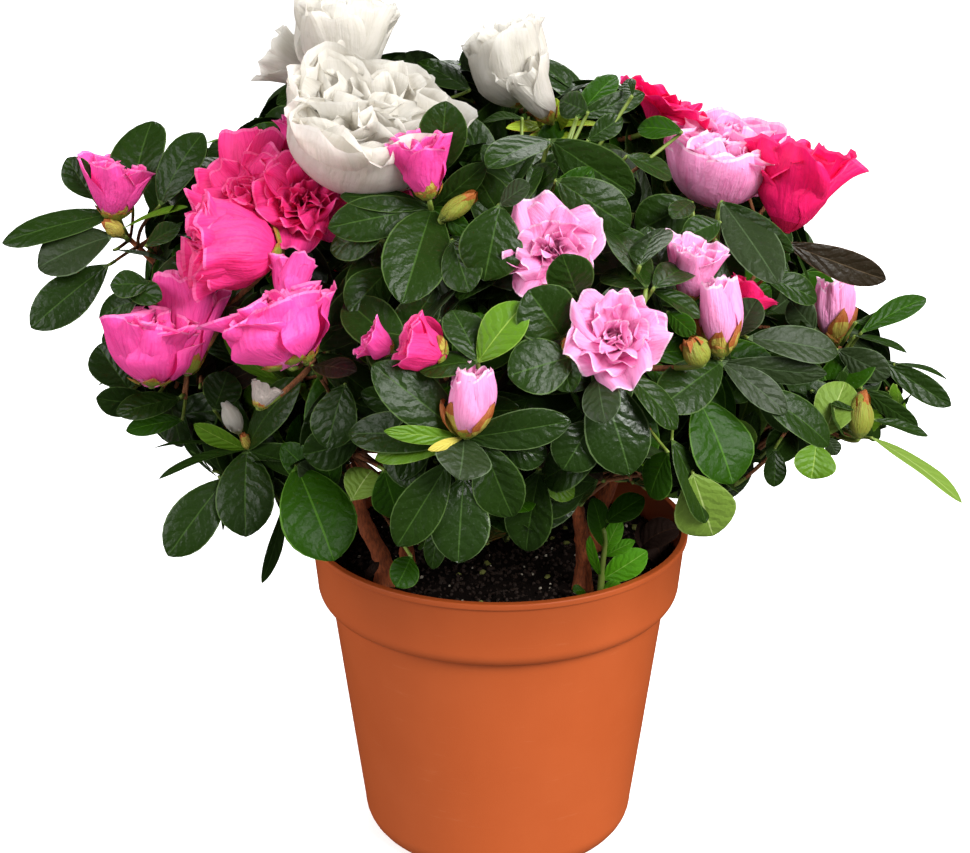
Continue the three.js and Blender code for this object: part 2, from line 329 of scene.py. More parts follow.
pot = piece_from("nursery_pot", vertices * MM, faces)
sealed(pot)
drills = bmesh.new()
for k in range(DRAIN_HOLES):
    angle = (k + 0.5) / DRAIN_HOLES * 2 * math.pi
    drill_r, depth = DRAIN_R * MM, 4 * POT_FLOOR * MM
    drilled = bmesh.ops.create_cone(
        drills, cap_ends=True, segments=24, radius1=drill_r, radius2=drill_r, depth=depth
    )
    place = Vector((math.cos(angle), math.sin(angle), 0)) * DRAIN_RING * MM
    bmesh.ops.translate(drills, verts=drilled["verts"], vec=place)
drill_mesh = bpy.data.meshes.new("drills")
drills.to_mesh(drill_mesh)
drills.free()
drill = bpy.data.objects.new("drills", drill_mesh)
bpy.context.scene.collection.objects.link(drill)
cut = pot.modifiers.new("drain_holes", "BOOLEAN")
cut.operation = "DIFFERENCE"
cut.object = drill
cut.solver = "EXACT"


def settle(piece):
    """Turns an object's live modifiers into a plain mesh."""
    seen = bpy.context.evaluated_depsgraph_get()
    finished = bpy.data.meshes.new_from_object(piece.evaluated_get(seen))
    piece.modifiers.clear()
    piece.data = finished


settle(pot)
bpy.data.objects.remove(drill)
pot.data.polygons.foreach_set("use_smooth", [True] * len(pot.data.polygons))
SHARP_ANGLE = math.radians(40)
pot.data.set_sharp_from_angle(angle=SHARP_ANGLE)

pot_finish, tree = new_finish("terracotta_plastic")
place = tree.place()
mottle = tree.noise(place, 26, 5, 0.6)
haze = tree.noise(tree.scaled(place, (1, 1, 0.25)), 60, 3)
scuffs = tree.noise(tree.scaled(place, (1, 1, 9)), 55, 6, 0.7)
grain = tree.noise(place, 2600, 2)
colour = tree.mixed(mottle, shade("b14f1f"), shade("c05c2a"))
colour = tree.mixed(haze * 0.35, colour, shade("a8481d"))
scuffed = tree.span(scuffs, 0.62, 0.78, 0.0, 0.16)
colour = tree.mixed(scuffed, colour, shade("dd9468"))
skin = tree.bump(grain * 0.6 + haze, 0.09, 0.0006)
close_finish(tree, colour, 0.42 + mottle * 0.14 + scuffed * 0.3, skin, 0.3)
pot.data.materials.clear()
pot.data.materials.append(pot_finish)
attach(pot, "root")
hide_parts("pot")


# ---- Peat -----------------------------------------------------------------------------------------
# Moist dark peat fills the pot to a centimetre under its rim, crumbly on top, with pale perlite and
# greenish fertilizer grains worked into it. The crumbs and grains are scattered on its surface.
PEAT_RINGS = 46
PEAT_TURN = 132
PEAT_RELIEF = 1.5
PEAT_EDGE_GAP = 0.3
peat_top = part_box("soil")[1].z / MM
rng = np.random.default_rng(11)


def waves(points, count, size, rng):
    """Smooth random relief over an array of points: a sum of plane waves of about one size."""
    total = np.zeros(points.shape[:-1])
    for _ in range(count):
        way = rng.normal(size=points.shape[-1])
        way *= 2 * math.pi / (size * rng.uniform(0.6, 1.6)) / np.linalg.norm(way)
        total += np.sin(points @ way + rng.uniform(0, 2 * math.pi))
    return total / math.sqrt(count)


peat_edge_r = inside_band_r - PEAT_EDGE_GAP
peat_profile = [
    (0.0, POT_FLOOR + 0.3),
    (POT_FOOT_FLAT - 0.6, POT_FLOOR + 0.3),
    (POT_BASE_R - POT_WALL - 0.6, POT_CORNER + 0.3),
    (POT_SHOULDER_R - POT_WALL - 0.6, POT_BAND_FOOT + 0.3),
    (peat_edge_r, band_round_top + POT_WALL),
    *[(peat_edge_r * (1 - k / PEAT_RINGS), peat_top) for k in range(PEAT_RINGS + 1)],
]
vertices, faces = spin(peat_profile, PEAT_TURN)
on_top = np.isclose(vertices[:, 2], peat_top)
flat = vertices[on_top][:, :2]
relief = waves(flat, 14, 22, rng) * 0.55 + waves(flat, 20, 6, rng) * 0.33
relief += waves(flat, 26, 2.4, rng) * 0.16
vertices[on_top, 2] += relief * PEAT_RELIEF - PEAT_RELIEF * 0.4
peat = piece_from("peat", vertices * MM, faces)
sealed(peat)

peat_finish, tree = new_finish("peat")
place = tree.place()
clod = tree.noise(place, 420, 6, 0.7)
speck = tree.noise(place, 1900, 3, 0.7)
colour = tree.mixed(clod, shade("080402"), shade("1c100a"))
colour = tree.mixed(tree.span(speck, 0.66, 0.8), colour, shade("54402d"))
crumbly = tree.bump(clod + speck * 0.5, 0.9, 0.0012)
close_finish(tree, colour, 0.75 + speck * 0.2, crumbly, 0.15)
peat.data.materials.append(peat_finish)
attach(peat, "root")
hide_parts("soil")


GRAIN_MEASURES = ("Grains per square metre", "Smallest", "Largest", "Flatness", "Seed")


def scatter_tree(name, finish, keep_top):
    """A geometry tree that strews lumps over the level faces of a mesh."""
    group = bpy.data.node_groups.new(name, "GeometryNodeTree")
    group.interface.new_socket("Ground", in_out="INPUT", socket_type="NodeSocketGeometry")
    for measure in GRAIN_MEASURES:
        kind = "NodeSocketInt" if measure == "Seed" else "NodeSocketFloat"
        group.interface.new_socket(measure, in_out="INPUT", socket_type=kind)
    group.interface.new_socket("Grains", in_out="OUTPUT", socket_type="NodeSocketGeometry")
    tree = Tree(group)
    entry = group.nodes.new("NodeGroupInput")
    ground, density, smallest, largest, flatness, seed = [
        Wire(tree, socket) for socket in entry.outputs[:6]
    ]
    height = tree.add("GeometryNodeInputPosition")
    height = tree.add("ShaderNodeSeparateXYZ", None, [height], output=2)
    level = tree.add("FunctionNodeCompare", {"operation": "GREATER_THAN"}, {0: height, 1: keep_top})
    strewing = {"Mesh": ground, "Selection": level, "Density": density, "Seed": seed}
    points = tree.add("GeometryNodeDistributePointsOnFaces", None, strewing)
    lump = tree.add("GeometryNodeMeshIcoSphere", None, {"Radius": 1.0, "Subdivisions": 1})
    any_turn = {0: (0, 0, 0), 1: (6.28, 6.28, 6.28), "Seed": seed}
    turn = tree.add("FunctionNodeRandomValue", {"data_type": "FLOAT_VECTOR"}, any_turn)
    any_size = {2: smallest, 3: largest, "Seed": seed}
    size = tree.add("FunctionNodeRandomValue", {"data_type": "FLOAT"}, any_size, 1)
    shape = tree.add("ShaderNodeCombineXYZ", None, [size, size * 0.8, size * flatness])
    lumps = {"Points": points, "Instance": lump, "Rotation": turn, "Scale": shape}
    strewn = tree.add("GeometryNodeInstanceOnPoints", None, lumps)
    real = tree.add("GeometryNodeRealizeInstances", None, [strewn])
    dressed = tree.add("GeometryNodeSetMaterial", None, {"Geometry": real, "Material": finish})
    leave = group.nodes.new("NodeGroupOutput")
    group.links.new(dressed.socket, leave.inputs[0])
    return group


# Each kind of grain: its finish's name, light and dark colours and roughness, then how many lie on a
# square metre, the smallest and the largest in mm, the flatness and the seed.
GRAINS = {
    "peat_crumbs": ("peat_crumb", "3a261a", "120a06", 0.7, 190000.0, 0.35, 1.3, 0.6, 3),
    "perlite": ("perlite", "cfc6b4", "8f8470", 0.9, 13000.0, 0.3, 0.95, 0.7, 8),
    "fertilizer_grains": ("fertilizer", "8c8b45", "5c6a2c", 0.6, 1900.0, 1.0, 1.9, 0.85, 21),
}
GRAIN_DEPTH = 2.5
for name, (kind, light, dark, roughness, density, smallest, largest, flatness, seed) in GRAINS.items():
    grain_finish, tree = new_finish(kind)
    mottle = tree.noise(tree.place(), 700, 3, 0.6)
    colour = tree.mixed(mottle, shade(dark), shade(light))
    close_finish(tree, colour, roughness, tree.bump(mottle, 0.5, 0.0004), 0.4)
    group = scatter_tree(name, grain_finish, (peat_top - GRAIN_DEPTH) * MM)
    grains = bpy.data.objects.new(name, peat.data.copy())
    bpy.context.scene.collection.objects.link(grains)
    modifier = grains.modifiers.new(name, "NODES")
    modifier.node_group = group
    measures = dict(zip(GRAIN_MEASURES, (density, smallest * MM, largest * MM, flatness, seed)))
    for item in group.interface.items_tree:
        if item.in_out == "INPUT" and item.name in measures:
            modifier[item.identifier] = measures[item.name]
    settle(grains)
    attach(grains, "root")


# ---- Stems and boughs -----------------------------------------------------------------------------
# Living wood under thin red-brown bark, scarred where old leaves fell and finely cracked lengthwise.
# Each stem flares at the peat, tapers and forks; each bough grows on from a fork into the crown.
STEM_RINGS = 7
BOUGH_RINGS = 5
LIMB_SIDES = 14
LIMB_STEP = 1.3
BARK_RELIEF = 0.09
SCAR_SPACING = 7.0
# A little over a full turn, in radians.
ANY_TURN = 6.3


def route_of(name, rings):
    """The middle line and the radii, in mm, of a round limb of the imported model."""
    corners = np.array([v.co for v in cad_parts[name].data.vertices]) / MM
    middle = corners.mean(0)
    along = np.linalg.svd(corners - middle, full_matrices=False)[2][0]
    share = (corners - middle) @ along
    share = (share - share.min()) / np.ptp(share)
    ring = np.rint(share * (rings - 1)).astype(int)
    route = np.array([corners[ring == k].mean(0) for k in range(rings)])
    radii = [np.linalg.norm(corners[ring == k] - route[k], axis=1).mean() for k in range(rings)]
    return route, np.array(radii)


def smooth_route(route, spacing):
    """A route made round through its points, with a point about every spacing."""
    route = np.asarray(route, float)
    ends = np.vstack([2 * route[0] - route[1], route, 2 * route[-1] - route[-2]])
    made = []
    places = []
    for k in range(1, len(ends) - 2):
        length = np.linalg.norm(ends[k + 1] - ends[k])
        count = max(2, int(round(length / spacing)))
        t = np.linspace(0, 1, count, endpoint=False)[:, None]
        a, b, c, d = ends[k - 1 : k + 3]
        curve = 2 * b + (c - a) * t + (2 * a - 5 * b + 4 * c - d) * t**2
        made.append(0.5 * (curve + (3 * b - a - 3 * c + d) * t**3))
        places.append(k - 1 + t[:, 0])
    made.append(route[-1:])
    places.append(np.array([len(route) - 1.0]))
    return np.vstack(made), np.concatenate(places)


def ring_frames(route):
    """Two directions across the route at each of its points, turning as little as they can."""
    ahead = np.gradient(route, axis=0)
    ahead /= np.linalg.norm(ahead, axis=1)[:, None]
    side = np.cross(ahead[0], (0.31, 0.95, 0.07))
    sides = []
    for way in ahead:
        side = side - way * (side @ way)
        side = side / np.linalg.norm(side)
        sides.append(side)
    sides = np.array(sides)
    return sides, np.cross(ahead, sides)


def tube(route, radii, sides, relief=None):
    """Vertices and faces of a closed round limb along a route."""
    across, aside = ring_frames(route)
    angles = np.arange(sides) * 2 * math.pi / sides
    radius = np.repeat(np.asarray(radii)[:, None], sides, 1)
    if relief is not None:
        radius = radius * (1 + relief(len(route), angles))
    rings = (
        route[:, None]
        + across[:, None] * (np.cos(angles)[None] * radius)[..., None]
        + aside[:, None] * (np.sin(angles)[None] * radius)[..., None]
    )
    faces = ring_faces(len(route), sides)
    faces.append(tuple(range(sides))[::-1])
    faces.append(tuple(range((len(route) - 1) * sides, len(route) * sides)))
    return rings.reshape(-1, 3), faces


def joined(parts):
    """One set of vertices and faces from several."""
    vertices, faces, first = [], [], 0
    for points, cells in parts:
        vertices.append(points)
        faces.extend(tuple(first + k for k in cell) for cell in cells)
        first += len(points)
    return np.vstack(vertices), faces


def bark_relief(rng):
    """Cracks and ridges round a limb, with a swollen leaf scar now and then."""

    def relief(rings, angles):
        row = np.arange(rings)[:, None] * LIMB_STEP
        cracks = 0
        for k in (2, 3, 5):
            turned = k * angles[None] + rng.uniform(0, ANY_TURN)
            cracks = cracks + np.sin(turned + 0.25 * np.sin(row * rng.uniform(0.1, 0.5)))
        swell = np.zeros((rings, len(angles)))
        for scar in np.arange(SCAR_SPACING, rings * LIMB_STEP, SCAR_SPACING):
            scar += rng.uniform(-2, 2)
            turn = rng.uniform(0, ANY_TURN)
            near = np.exp(-(((row - scar) / 1.5) ** 2))
            swell += near * (0.10 + 0.22 * np.exp(3 * (np.cos(angles[None] - turn) - 1)))
        return BARK_RELIEF * cracks * 0.5 + swell

    return relief


def bark(name, dark, light):
    """Bark with its patches of colour and dark cracks that run lengthwise."""
    finish, tree = new_finish(name)
    place = tree.place()
    cracks = tree.noise(tree.scaled(place, (1, 1, 0.22)), 1500, 5, 0.65)
    patches = tree.noise(place, 210, 4)
    colour = tree.mixed(patches, shade(dark), shade(light))
    crack = tree.span(cracks, 0.35, 0.6, 1.0, 0.0)
    colour = tree.mixed(crack * 0.6, colour, shade("2a120b"))
    close_finish(tree, colour, 0.72 + cracks * 0.2, tree.bump(cracks + patches * 0.4, 0.7, 0.0006))
    return finish


rng = np.random.default_rng(5)
stem_names = [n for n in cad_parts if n.startswith("stem_")]
bough_names = [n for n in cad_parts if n.startswith("bough_")]
wood_lines = []
stem_parts = []
for name in sorted(stem_names):
    route, radii = route_of(name, STEM_RINGS)
    if route[0][2] > route[-1][2]:
        route, radii = route[::-1], radii[::-1]
    route[0][2] = peat_top - 1.5
    line, places = smooth_route(route, LIMB_STEP)
    width = np.interp(places, np.arange(STEM_RINGS), radii)
    wood_lines.append(line)
    stem_parts.append(tube(line, width, LIMB_SIDES, bark_relief(rng)))
wood_line = np.vstack(wood_lines)

bough_routes = {}
bough_parts = []
for name in sorted(bough_names):
    route, radii = route_of(name, BOUGH_RINGS)
    gaps = [np.linalg.norm(wood_line - end, axis=1) for end in (route[0], route[-1])]
    if gaps[0].min() > gaps[1].min():
        route, radii, gaps = route[::-1], radii[::-1], gaps[::-1]
    route = np.vstack([wood_line[gaps[0].argmin()], route])
    radii = np.append(radii[0] * 1.1, radii)
    line, places = smooth_route(route, LIMB_STEP)
    width = np.interp(places, np.arange(len(radii)), radii)
    bough_routes[name.removeprefix("bough_")] = line
    bough_parts.append(tube(line, width, LIMB_SIDES, bark_relief(rng)))


def wood_piece(name, parts, finish, nodes):
    """One piece of many limbs, in place of the given nodes."""
    vertices, faces = joined(parts)
    piece = piece_from(name, vertices * MM, faces)
    sealed(piece, 1e-7)
    piece.data.materials.append(finish)
    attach(piece, "root")
    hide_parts(*nodes)


bark_finish = bark("red_brown_bark", "883c1e", "dc7642")
wood_piece("stems", stem_parts, bark_finish, stem_names)
wood_piece("boughs", bough_parts, bark_finish, bough_names)


# ---- Twigs and shoots -----------------------------------------------------------------------------
# From the end of each bough a branchlet runs into the mass of foliage it feeds. Twigs grow on from
# that branchlet: brown where they are a year old, soft and green towards their whorl of leaves.
BRANCHLET_R = (1.15, 0.85)
TWIG_R = (0.8, 0.6)
GREEN_SHARE = 0.4
HUB_SHARE = 0.62
SHORTEST_BRANCHLET = 2
TWIG_SIDES = 6
CROWN_MIDDLE = np.array((0.0, 0.0, 175.0))


def to_plant(x, y, depth):
    """The point in mm that is seen at (x, y), so far ahead of the camera."""
    line = sight_line(x, y)
    return np.array(CAMERA_PLACE / MM + line * (depth / line.dot(AHEAD)))


def ahead_of_camera(point):
    """How far ahead of the camera a point in mm lies."""
    return float((np.asarray(point) - np.array(CAMERA_PLACE / MM)) @ np.array(AHEAD))


masses = {}
for name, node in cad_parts.items():
    if not name.startswith("mass_"):
        continue
    low, high = [np.array(corner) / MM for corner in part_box(name)]
    shell = BVHTree.FromPolygons(
        [v.co / MM for v in node.data.vertices], [tuple(p.vertices) for p in node.data.polygons]
    )
    key = name.removeprefix("mass_")
    masses[key] = {"middle": (low + high) / 2, "half": (high - low) / 2, "shell": shell}


def crown_depth(x, y):
    """How far ahead the crown's surface lies at a pixel of the view, and the mass met there."""
    line = sight_line(x, y)
    nearest = (None, None)
    for key, mass in masses.items():
        hit = mass["shell"].ray_cast(CAMERA_PLACE / MM, line)[0]
        if hit is None:
            continue
        depth = ahead_of_camera(hit)
        if nearest[0] is None or depth < nearest[0]:
            nearest = (depth, key)
    return nearest


def crown_beside(x, y):
    """The same, but off the crown it takes the mass whose middle is seen closest to the pixel."""
    depth, key = crown_depth(x, y)
    if key is None:
        seen = {key: seen_points([mass["middle"] * MM])[0] for key, mass in masses.items()}
        gaps = {key: math.hypot(seen[key][0] - x, seen[key][1] - y) for key in masses}
        key = min(gaps, key=gaps.get)
        depth = ahead_of_camera(masses[key]["middle"])
    return depth, key


def bent_route(start, end, leave, arrive, steps):
    """A smooth route that leaves and arrives in the given directions."""
    t = np.linspace(0, 1, steps)[:, None]
    start_share = 2 * t**3 - 3 * t**2 + 1
    route = start_share * start + (t**3 - 2 * t**2 + t) * leave
    return route + (1 - start_share) * end + (t**3 - t**2) * arrive


limb_line = np.vstack([wood_line, *[line[4:] for line in bough_routes.values()]])
branchlet_parts = []
for key, mass in masses.items():
    if key in bough_routes:
        start = bough_routes[key][-1]
    else:
        reach = np.linalg.norm(limb_line - mass["middle"], axis=1)
        start = limb_line[reach.argmin()]
    mass["hub"] = start + (mass["middle"] - start) * HUB_SHARE
    away = mass["hub"] - start
    if np.linalg.norm(away) < SHORTEST_BRANCHLET:
        mass["hub"] = start + np.array((0, 0, 3.0))
        away = mass["hub"] - start
    steps = max(5, int(np.linalg.norm(away) / 3))
    line = bent_route(start, mass["hub"], away * 0.8 - np.array((0, 0, 3.0)), away, steps)
    radii = np.linspace(*BRANCHLET_R, len(line))
    branchlet_parts.append(tube(line, radii, TWIG_SIDES + 2))
    mass["line"] = line[len(line) // 3 :]

twig_parts = []
green_parts = []


def grow_twig(mass, node, way, rng, thickness=1.0, pull=0.8):
    """A twig from the branchlet of a mass to a node, arriving in the direction way."""
    reach = np.linalg.norm(mass["line"] - node, axis=1)
    start = mass["line"][reach.argmin()]
    away = node - start
    length = np.linalg.norm(away)
    if length < 1:
        return
    leave = away * 0.7 + rng.normal(size=3) * length * 0.15 - np.array((0, 0, length * 0.1))
    steps = max(5, int(length / 3.5))
    line = bent_route(start, node, leave, np.asarray(way) * length * pull, steps)
    radii = np.linspace(*TWIG_R, steps) * thickness
    turn = max(2, int(steps * (1 - GREEN_SHARE)))
    twig_parts.append(tube(line[: turn + 1], radii[: turn + 1], TWIG_SIDES))
    green_parts.append(tube(line[turn:], radii[turn:] * 1.06, TWIG_SIDES))


# ---- Leaves that are seen one by one --------------------------------------------------------------
# The outer shoots end in open whorls of leathery leaves, each on a short stalk. Some leaves are
# satin, some shiny, some dull, and the youngest are light green.

# Each whorl has the pixel of its node, and for each leaf: the pixel of its tip, how far the tip
# stands nearer (mm), its width (mm), its turn about its own middle (degrees) and its tone. A leaf
# with its own base gives that pixel last.
WHORLS = {
    "left sprig": [
        (118, 213), (2, 243, 6, 12, 20, "dark"), (67, 158, -6, 10, -10, "dark", (94, 199)),
        (152, 121, -9, 20, 0, "dark", (132, 205)), (203, 133, -10, 14, 10, "dark", (160, 205)),
        (188, 207, 3, 5, 40, "light", (124, 228)), (38, 268, 7, 17, 0, "dull", (112, 236)),
        (31, 328, 4, 15, 5, "dark", (108, 265)), (172, 264, -2, 6, 50, "dark", (114, 250)),
        (180, 226, -5, 9, 20, "dark", (146, 246)),
    ],
    "left sprig, lower": [
        (150, 285), (110, 285, 4, 9, 20, "dark"), (162, 300, 5, 8, 0, "dark", (126, 286)),
        (99, 318, -3, 10, 10, "dark", (138, 300)),
    ],
    "under the left cup": [
        (180, 398), (98, 345, -6, 13, 10, "dark", (130, 390)), (96, 398, 3, 11, 20, "dark", (152, 402)),
        (116, 414, 6, 9, 10, "dark"), (126, 431, 2, 7, 30, "mid", (182, 420)),
        (262, 366, 2, 8, 35, "bronze", (205, 394)), (240, 392, 3, 7, 30, "bronze", (200, 388)),
    ],
    "low left": [
        (247, 450), (194, 424, 6, 7, 35, "light"), (152, 449, 2, 6, 50, "dark"),
        (159, 479, 4, 6, 45, "dark"), (168, 556, 4, 15, 10, "dark", (226, 478)),
        (246, 537, 9, 18, 0, "dark"), (262, 583, 2, 5, 40, "dark", (284, 505)),
        (301, 380, 5, 14, 10, "dark"), (318, 466, 6, 11, 25, "dark"),
        (228, 372, -4, 12, 15, "dark", (214, 410)),
    ],
    "bright big leaf": [
        (296, 466), (334, 561, 9, 22, 0, "mid"), (327, 449, 3, 14, 5, "dark", (345, 384)),
        (356, 372, 4, 9, 20, "bronze", (312, 366)), (303, 455, 0, 12, 20, "dark", (360, 440)),
    ],
    "middle whorl": [
        (464, 438), (372, 365, 7, 15, 5, "dark"), (348, 434, 4, 12, 20, "dark"),
        (384, 431, 8, 5, 25, "light"), (375, 459, 3, 8, 20, "light"), (428, 450, 9, 2.8, 20, "yellow"),
        (459, 480, 14, 16, 5, "dull"), (397, 546, 6, 13, 10, "dark", (449, 462)),
        (458, 563, 9, 16.5, 5, "shiny", (464, 476)), (432, 569, 1, 7, 30, "dark", (441, 520)),
        (513, 517, 7, 15, 10, "dark", (484, 443)), (526, 551, 3, 14.5, 10, "dark", (540, 470)),
        (571, 421, 7, 11, 15, "shiny"), (547, 456, 3, 10, 10, "shiny", (499, 446)),
    ],
    "left of the middle": [
        (400, 500), (372, 470, -8, 12, 10, "pale", (352, 500)), (396, 587, 6, 9, 0, "mid", (411, 557)),
        (574, 497, -4, 9, 15, "light", (536, 472)), (400, 520, -6, 12, 20, "mid", (384, 470)),
    ],
    "under the middle pink": [
        (598, 375), (508, 376, 6, 16, 5, "dark", (575, 356)), (606, 423, 10, 11, 0, "dull"),
        (630, 475, 6, 18, 5, "shiny"), (563, 470, 4, 14, 15, "shiny", (592, 420)),
        (677, 429, 5, 10, 20, "dark", (628, 376)), (543, 480, -4, 14, 10, "dark", (602, 452)),
        (650, 497, -4, 12, 20, "mid", (668, 452)),
    ],
    "bright beside the middle": [
        (478, 362), (525, 303, 7, 12, 10, "light"), (420, 372, -2, 11, 30, "dark"),
        (452, 310, -3, 12, 20, "dark"),
    ],
    "right bud": [
        (722, 362), (659, 408, 8, 15, 5, "dark"), (787, 413, 8, 9.5, 5, "dull"),
        (733, 484, 6, 20, 5, "mid", (698, 398)), (829, 445, 3, 12.5, 10, "dark", (752, 390)),
        (827, 374, 6, 8, 30, "dull"), (838, 353, 3, 11, 15, "dull", (748, 338)),
        (757, 299, -3, 11, 20, "dull", (737, 336)), (706, 523, 2, 13, 15, "dark", (672, 440)),
        (713, 536, -3, 18, 10, "pale", (693, 474)), (700, 318, 4, 8, 30, "dark", (653, 290)),
        (695, 335, 2, 6, 30, "mid", (668, 312)),
    ],
    "right end": [
        (838, 350), (890, 376, 7, 10, 5, "dull"), (951, 406, 4, 8, 20, "dark", (880, 360)),
        (918, 426, 5, 6, 35, "dark", (862, 388)), (928, 436, 2, 5, 40, "dark", (874, 420)),
        (862, 410, 3, 7, 25, "dark", (812, 391)), (926, 298, 1, 8, 25, "mid", (862, 332)),
        (907, 353, 4, 6, 35, "dark", (855, 336)), (949, 381, 1, 5, 45, "dark", (895, 364)),
        (905, 310, -5, 6, 40, "dark", (856, 322)), (893, 402, -4, 6, 40, "dark", (850, 395)),
    ],
    "right end, lower": [
        (856, 437), (962, 503, 5, 9, 25, "pale", (872, 438)),
        (845, 382, -4, 13, 10, "pale", (824, 436)), (811, 479, 2, 13, 5, "light", (816, 444)),
        (774, 487, 2, 7, 0, "dark", (775, 449)), (837, 455, -2, 5, 20, "dull", (828, 438)),
    ],
    "top right": [
        (722, 202), (779, 284, 8, 14, 10, "dull"), (794, 252, 4, 8, 30, "dark"),
        (886, 280, 0, 9.5, 15, "bronze", (786, 243)), (636, 232, 5, 15, 5, "dark", (692, 202)),
        (672, 219, 9, 7, 5, "dark", (692, 202)), (684, 238, 2, 9, 25, "dark", (720, 222)),
        (817, 300, 0, 9, 25, "dark", (765, 278)), (790, 301, -4, 9, 20, "dull", (815, 330)),
        (735, 292, -3, 10, 20, "dark", (716, 240)),
    ],
    "top middle": [
        (550, 140), (487, 168, 6, 13, 10, "dark"), (634, 194, 6, 15, 5, "dark"),
        (630, 228, 3, 15, 10, "dark", (556, 180)), (616, 75, -2, 9, 20, "mid", (577, 118)),
        (645, 94, 2, 7, 30, "dark", (577, 117)), (622, 117, 3, 7, 30, "dark", (588, 140)),
        (638, 128, -2, 8, 20, "mid", (682, 132)), (627, 79, -6, 5, 20, "dark", (632, 96)),
        (672, 178, 0, 9, 20, "dark", (627, 156)), (482, 122, 0, 6, 40, "dark", (522, 118)),
        (560, 100, -5, 9, 20, "dark", (588, 112)),
    ],
    "bracts under the white": [
        (554, 130), (506, 128, 9, 4.5, 20, "bract"), (520, 148, 12, 4.5, 20, "bract"),
        (544, 150, 13, 4.5, 10, "bract"), (576, 148, 12, 4.5, 10, "bract"),
        (602, 125, 9, 4.5, 20, "bract"), (588, 106, 3, 4, 20, "bract"), (556, 98, 2, 5, 0, "bract"),
        (570, 116, 10, 5, 0, "bract"), (536, 120, 10, 5, 0, "bract"),
    ],
    "behind the rose blooms": [
        (646, 288), (612, 232, -22, 13, 20, "dark"), (660, 228, -22, 12, 20, "dark", (640, 266)),
        (690, 266, -20, 10, 25, "dark", (654, 288)), (604, 272, -20, 10, 25, "dark"),
    ],
    "behind the white": [
        (430, 90), (277, 98, -16, 8, 15, "dark", (314, 94)), (417, 62, -16, 9, 20, "dark", (470, 90)),
    ],
    "left of the top": [
        (432, 208), (446, 101, 15, 14, 5, "dark", (440, 172)), (328, 228, 6, 13, 5, "dark"),
        (402, 304, 8, 19, 0, "dark"), (340, 196, 1, 9, 25, "dark"), (486, 163, 2, 8, 30, "dark"),
        (349, 312, 2, 13, 15, "dark", (391, 268)), (330, 250, 0, 12, 20, "dark", (388, 230)),
        (470, 232, 3, 7, 30, "mid"),
    ],
    "beside the middle pink": [
        (500, 205), (484, 281, 5, 18, 10, "dark"), (530, 184, 1, 8, 30, "dull"),
        (470, 292, 1, 12, 20, "dark", (452, 240)),
    ],
    "between the pinks": [
        (580, 300), (562, 254, 14, 13, 5, "dark"), (528, 290, 12, 17, 0, "dark", (562, 338)),
        (572, 392, 0, 10, 25, "dark", (556, 345)),
    ],
}


def draped(x, y, fallback):
    """The crown's surface depth at a pixel of the view, or a fallback where it lies off the crown."""
    depth = crown_depth(x, y)[0]
    return fallback if depth is None else depth


def one_leaf(root, tip, face, turn, width, tone, curl):
    """A leaf: its root and tip, the way its face looks, its turn in degrees, width, tone and curl."""
    return dict(root=root, tip=tip, face=face, turn=turn, width=width, tone=tone, curl=curl)


NODE_SEAT = 5
LEAF_SEAT = 4
STEEPEST = 0.35
leaves = []
# Base, tip, half width and depth behind of each leaf and flower that is placed one by one.
front_marks = []
rng = np.random.default_rng(29)
to_camera = -np.array(AHEAD)
for node_at, *whorl in WHORLS.values():
    depth, key = crown_beside(*node_at)
    node = to_plant(*node_at, depth + NODE_SEAT)
    tips = []
    for tip_x, tip_y, nearer, width, turn, tone, *own_base in whorl:
        base_at = own_base[0] if own_base else node_at
        base_depth = depth + LEAF_SEAT
        if own_base:
            base_depth = draped(*base_at, depth) * 0.5 + depth * 0.5 + 3
        span = math.hypot(tip_x - base_at[0], tip_y - base_at[1]) / FOCAL_PIXELS * base_depth
        slope = draped(tip_x, tip_y, base_depth) - base_depth
        slope = min(max(slope, -STEEPEST * span), STEEPEST * span)
        base = to_plant(*base_at, base_depth)
        tip = to_plant(tip_x, tip_y, base_depth + slope - nearer)
        tips.append((tip - base) / np.linalg.norm(tip - base))
        face = to_camera + np.array((0, 0, 0.3)) + rng.normal(0, 0.22, 3)
        turn *= 1 if rng.random() < 0.5 else -1
        leaves.append(one_leaf(base, tip, face, turn, width, tone, rng.uniform(0.25, 0.6)))
        front_marks.append((base, tip, width / 2, 0))
        if own_base:
            grow_twig(masses[key], base, to_camera * 0.5, rng, 0.8)
    way = np.mean(tips, 0) + to_camera * 0.6 + np.array((0, 0, 0.2))
    grow_twig(masses[key], node, way / np.linalg.norm(way), rng)


# ---- Blossom that is seen one by one --------------------------------------------------------------
# Double azalea flowers: whorls of thin ruffled petals in a funnel, from tight bud to full rosette,
# each on a short green stalk in a calyx of brown-tipped bud scales.

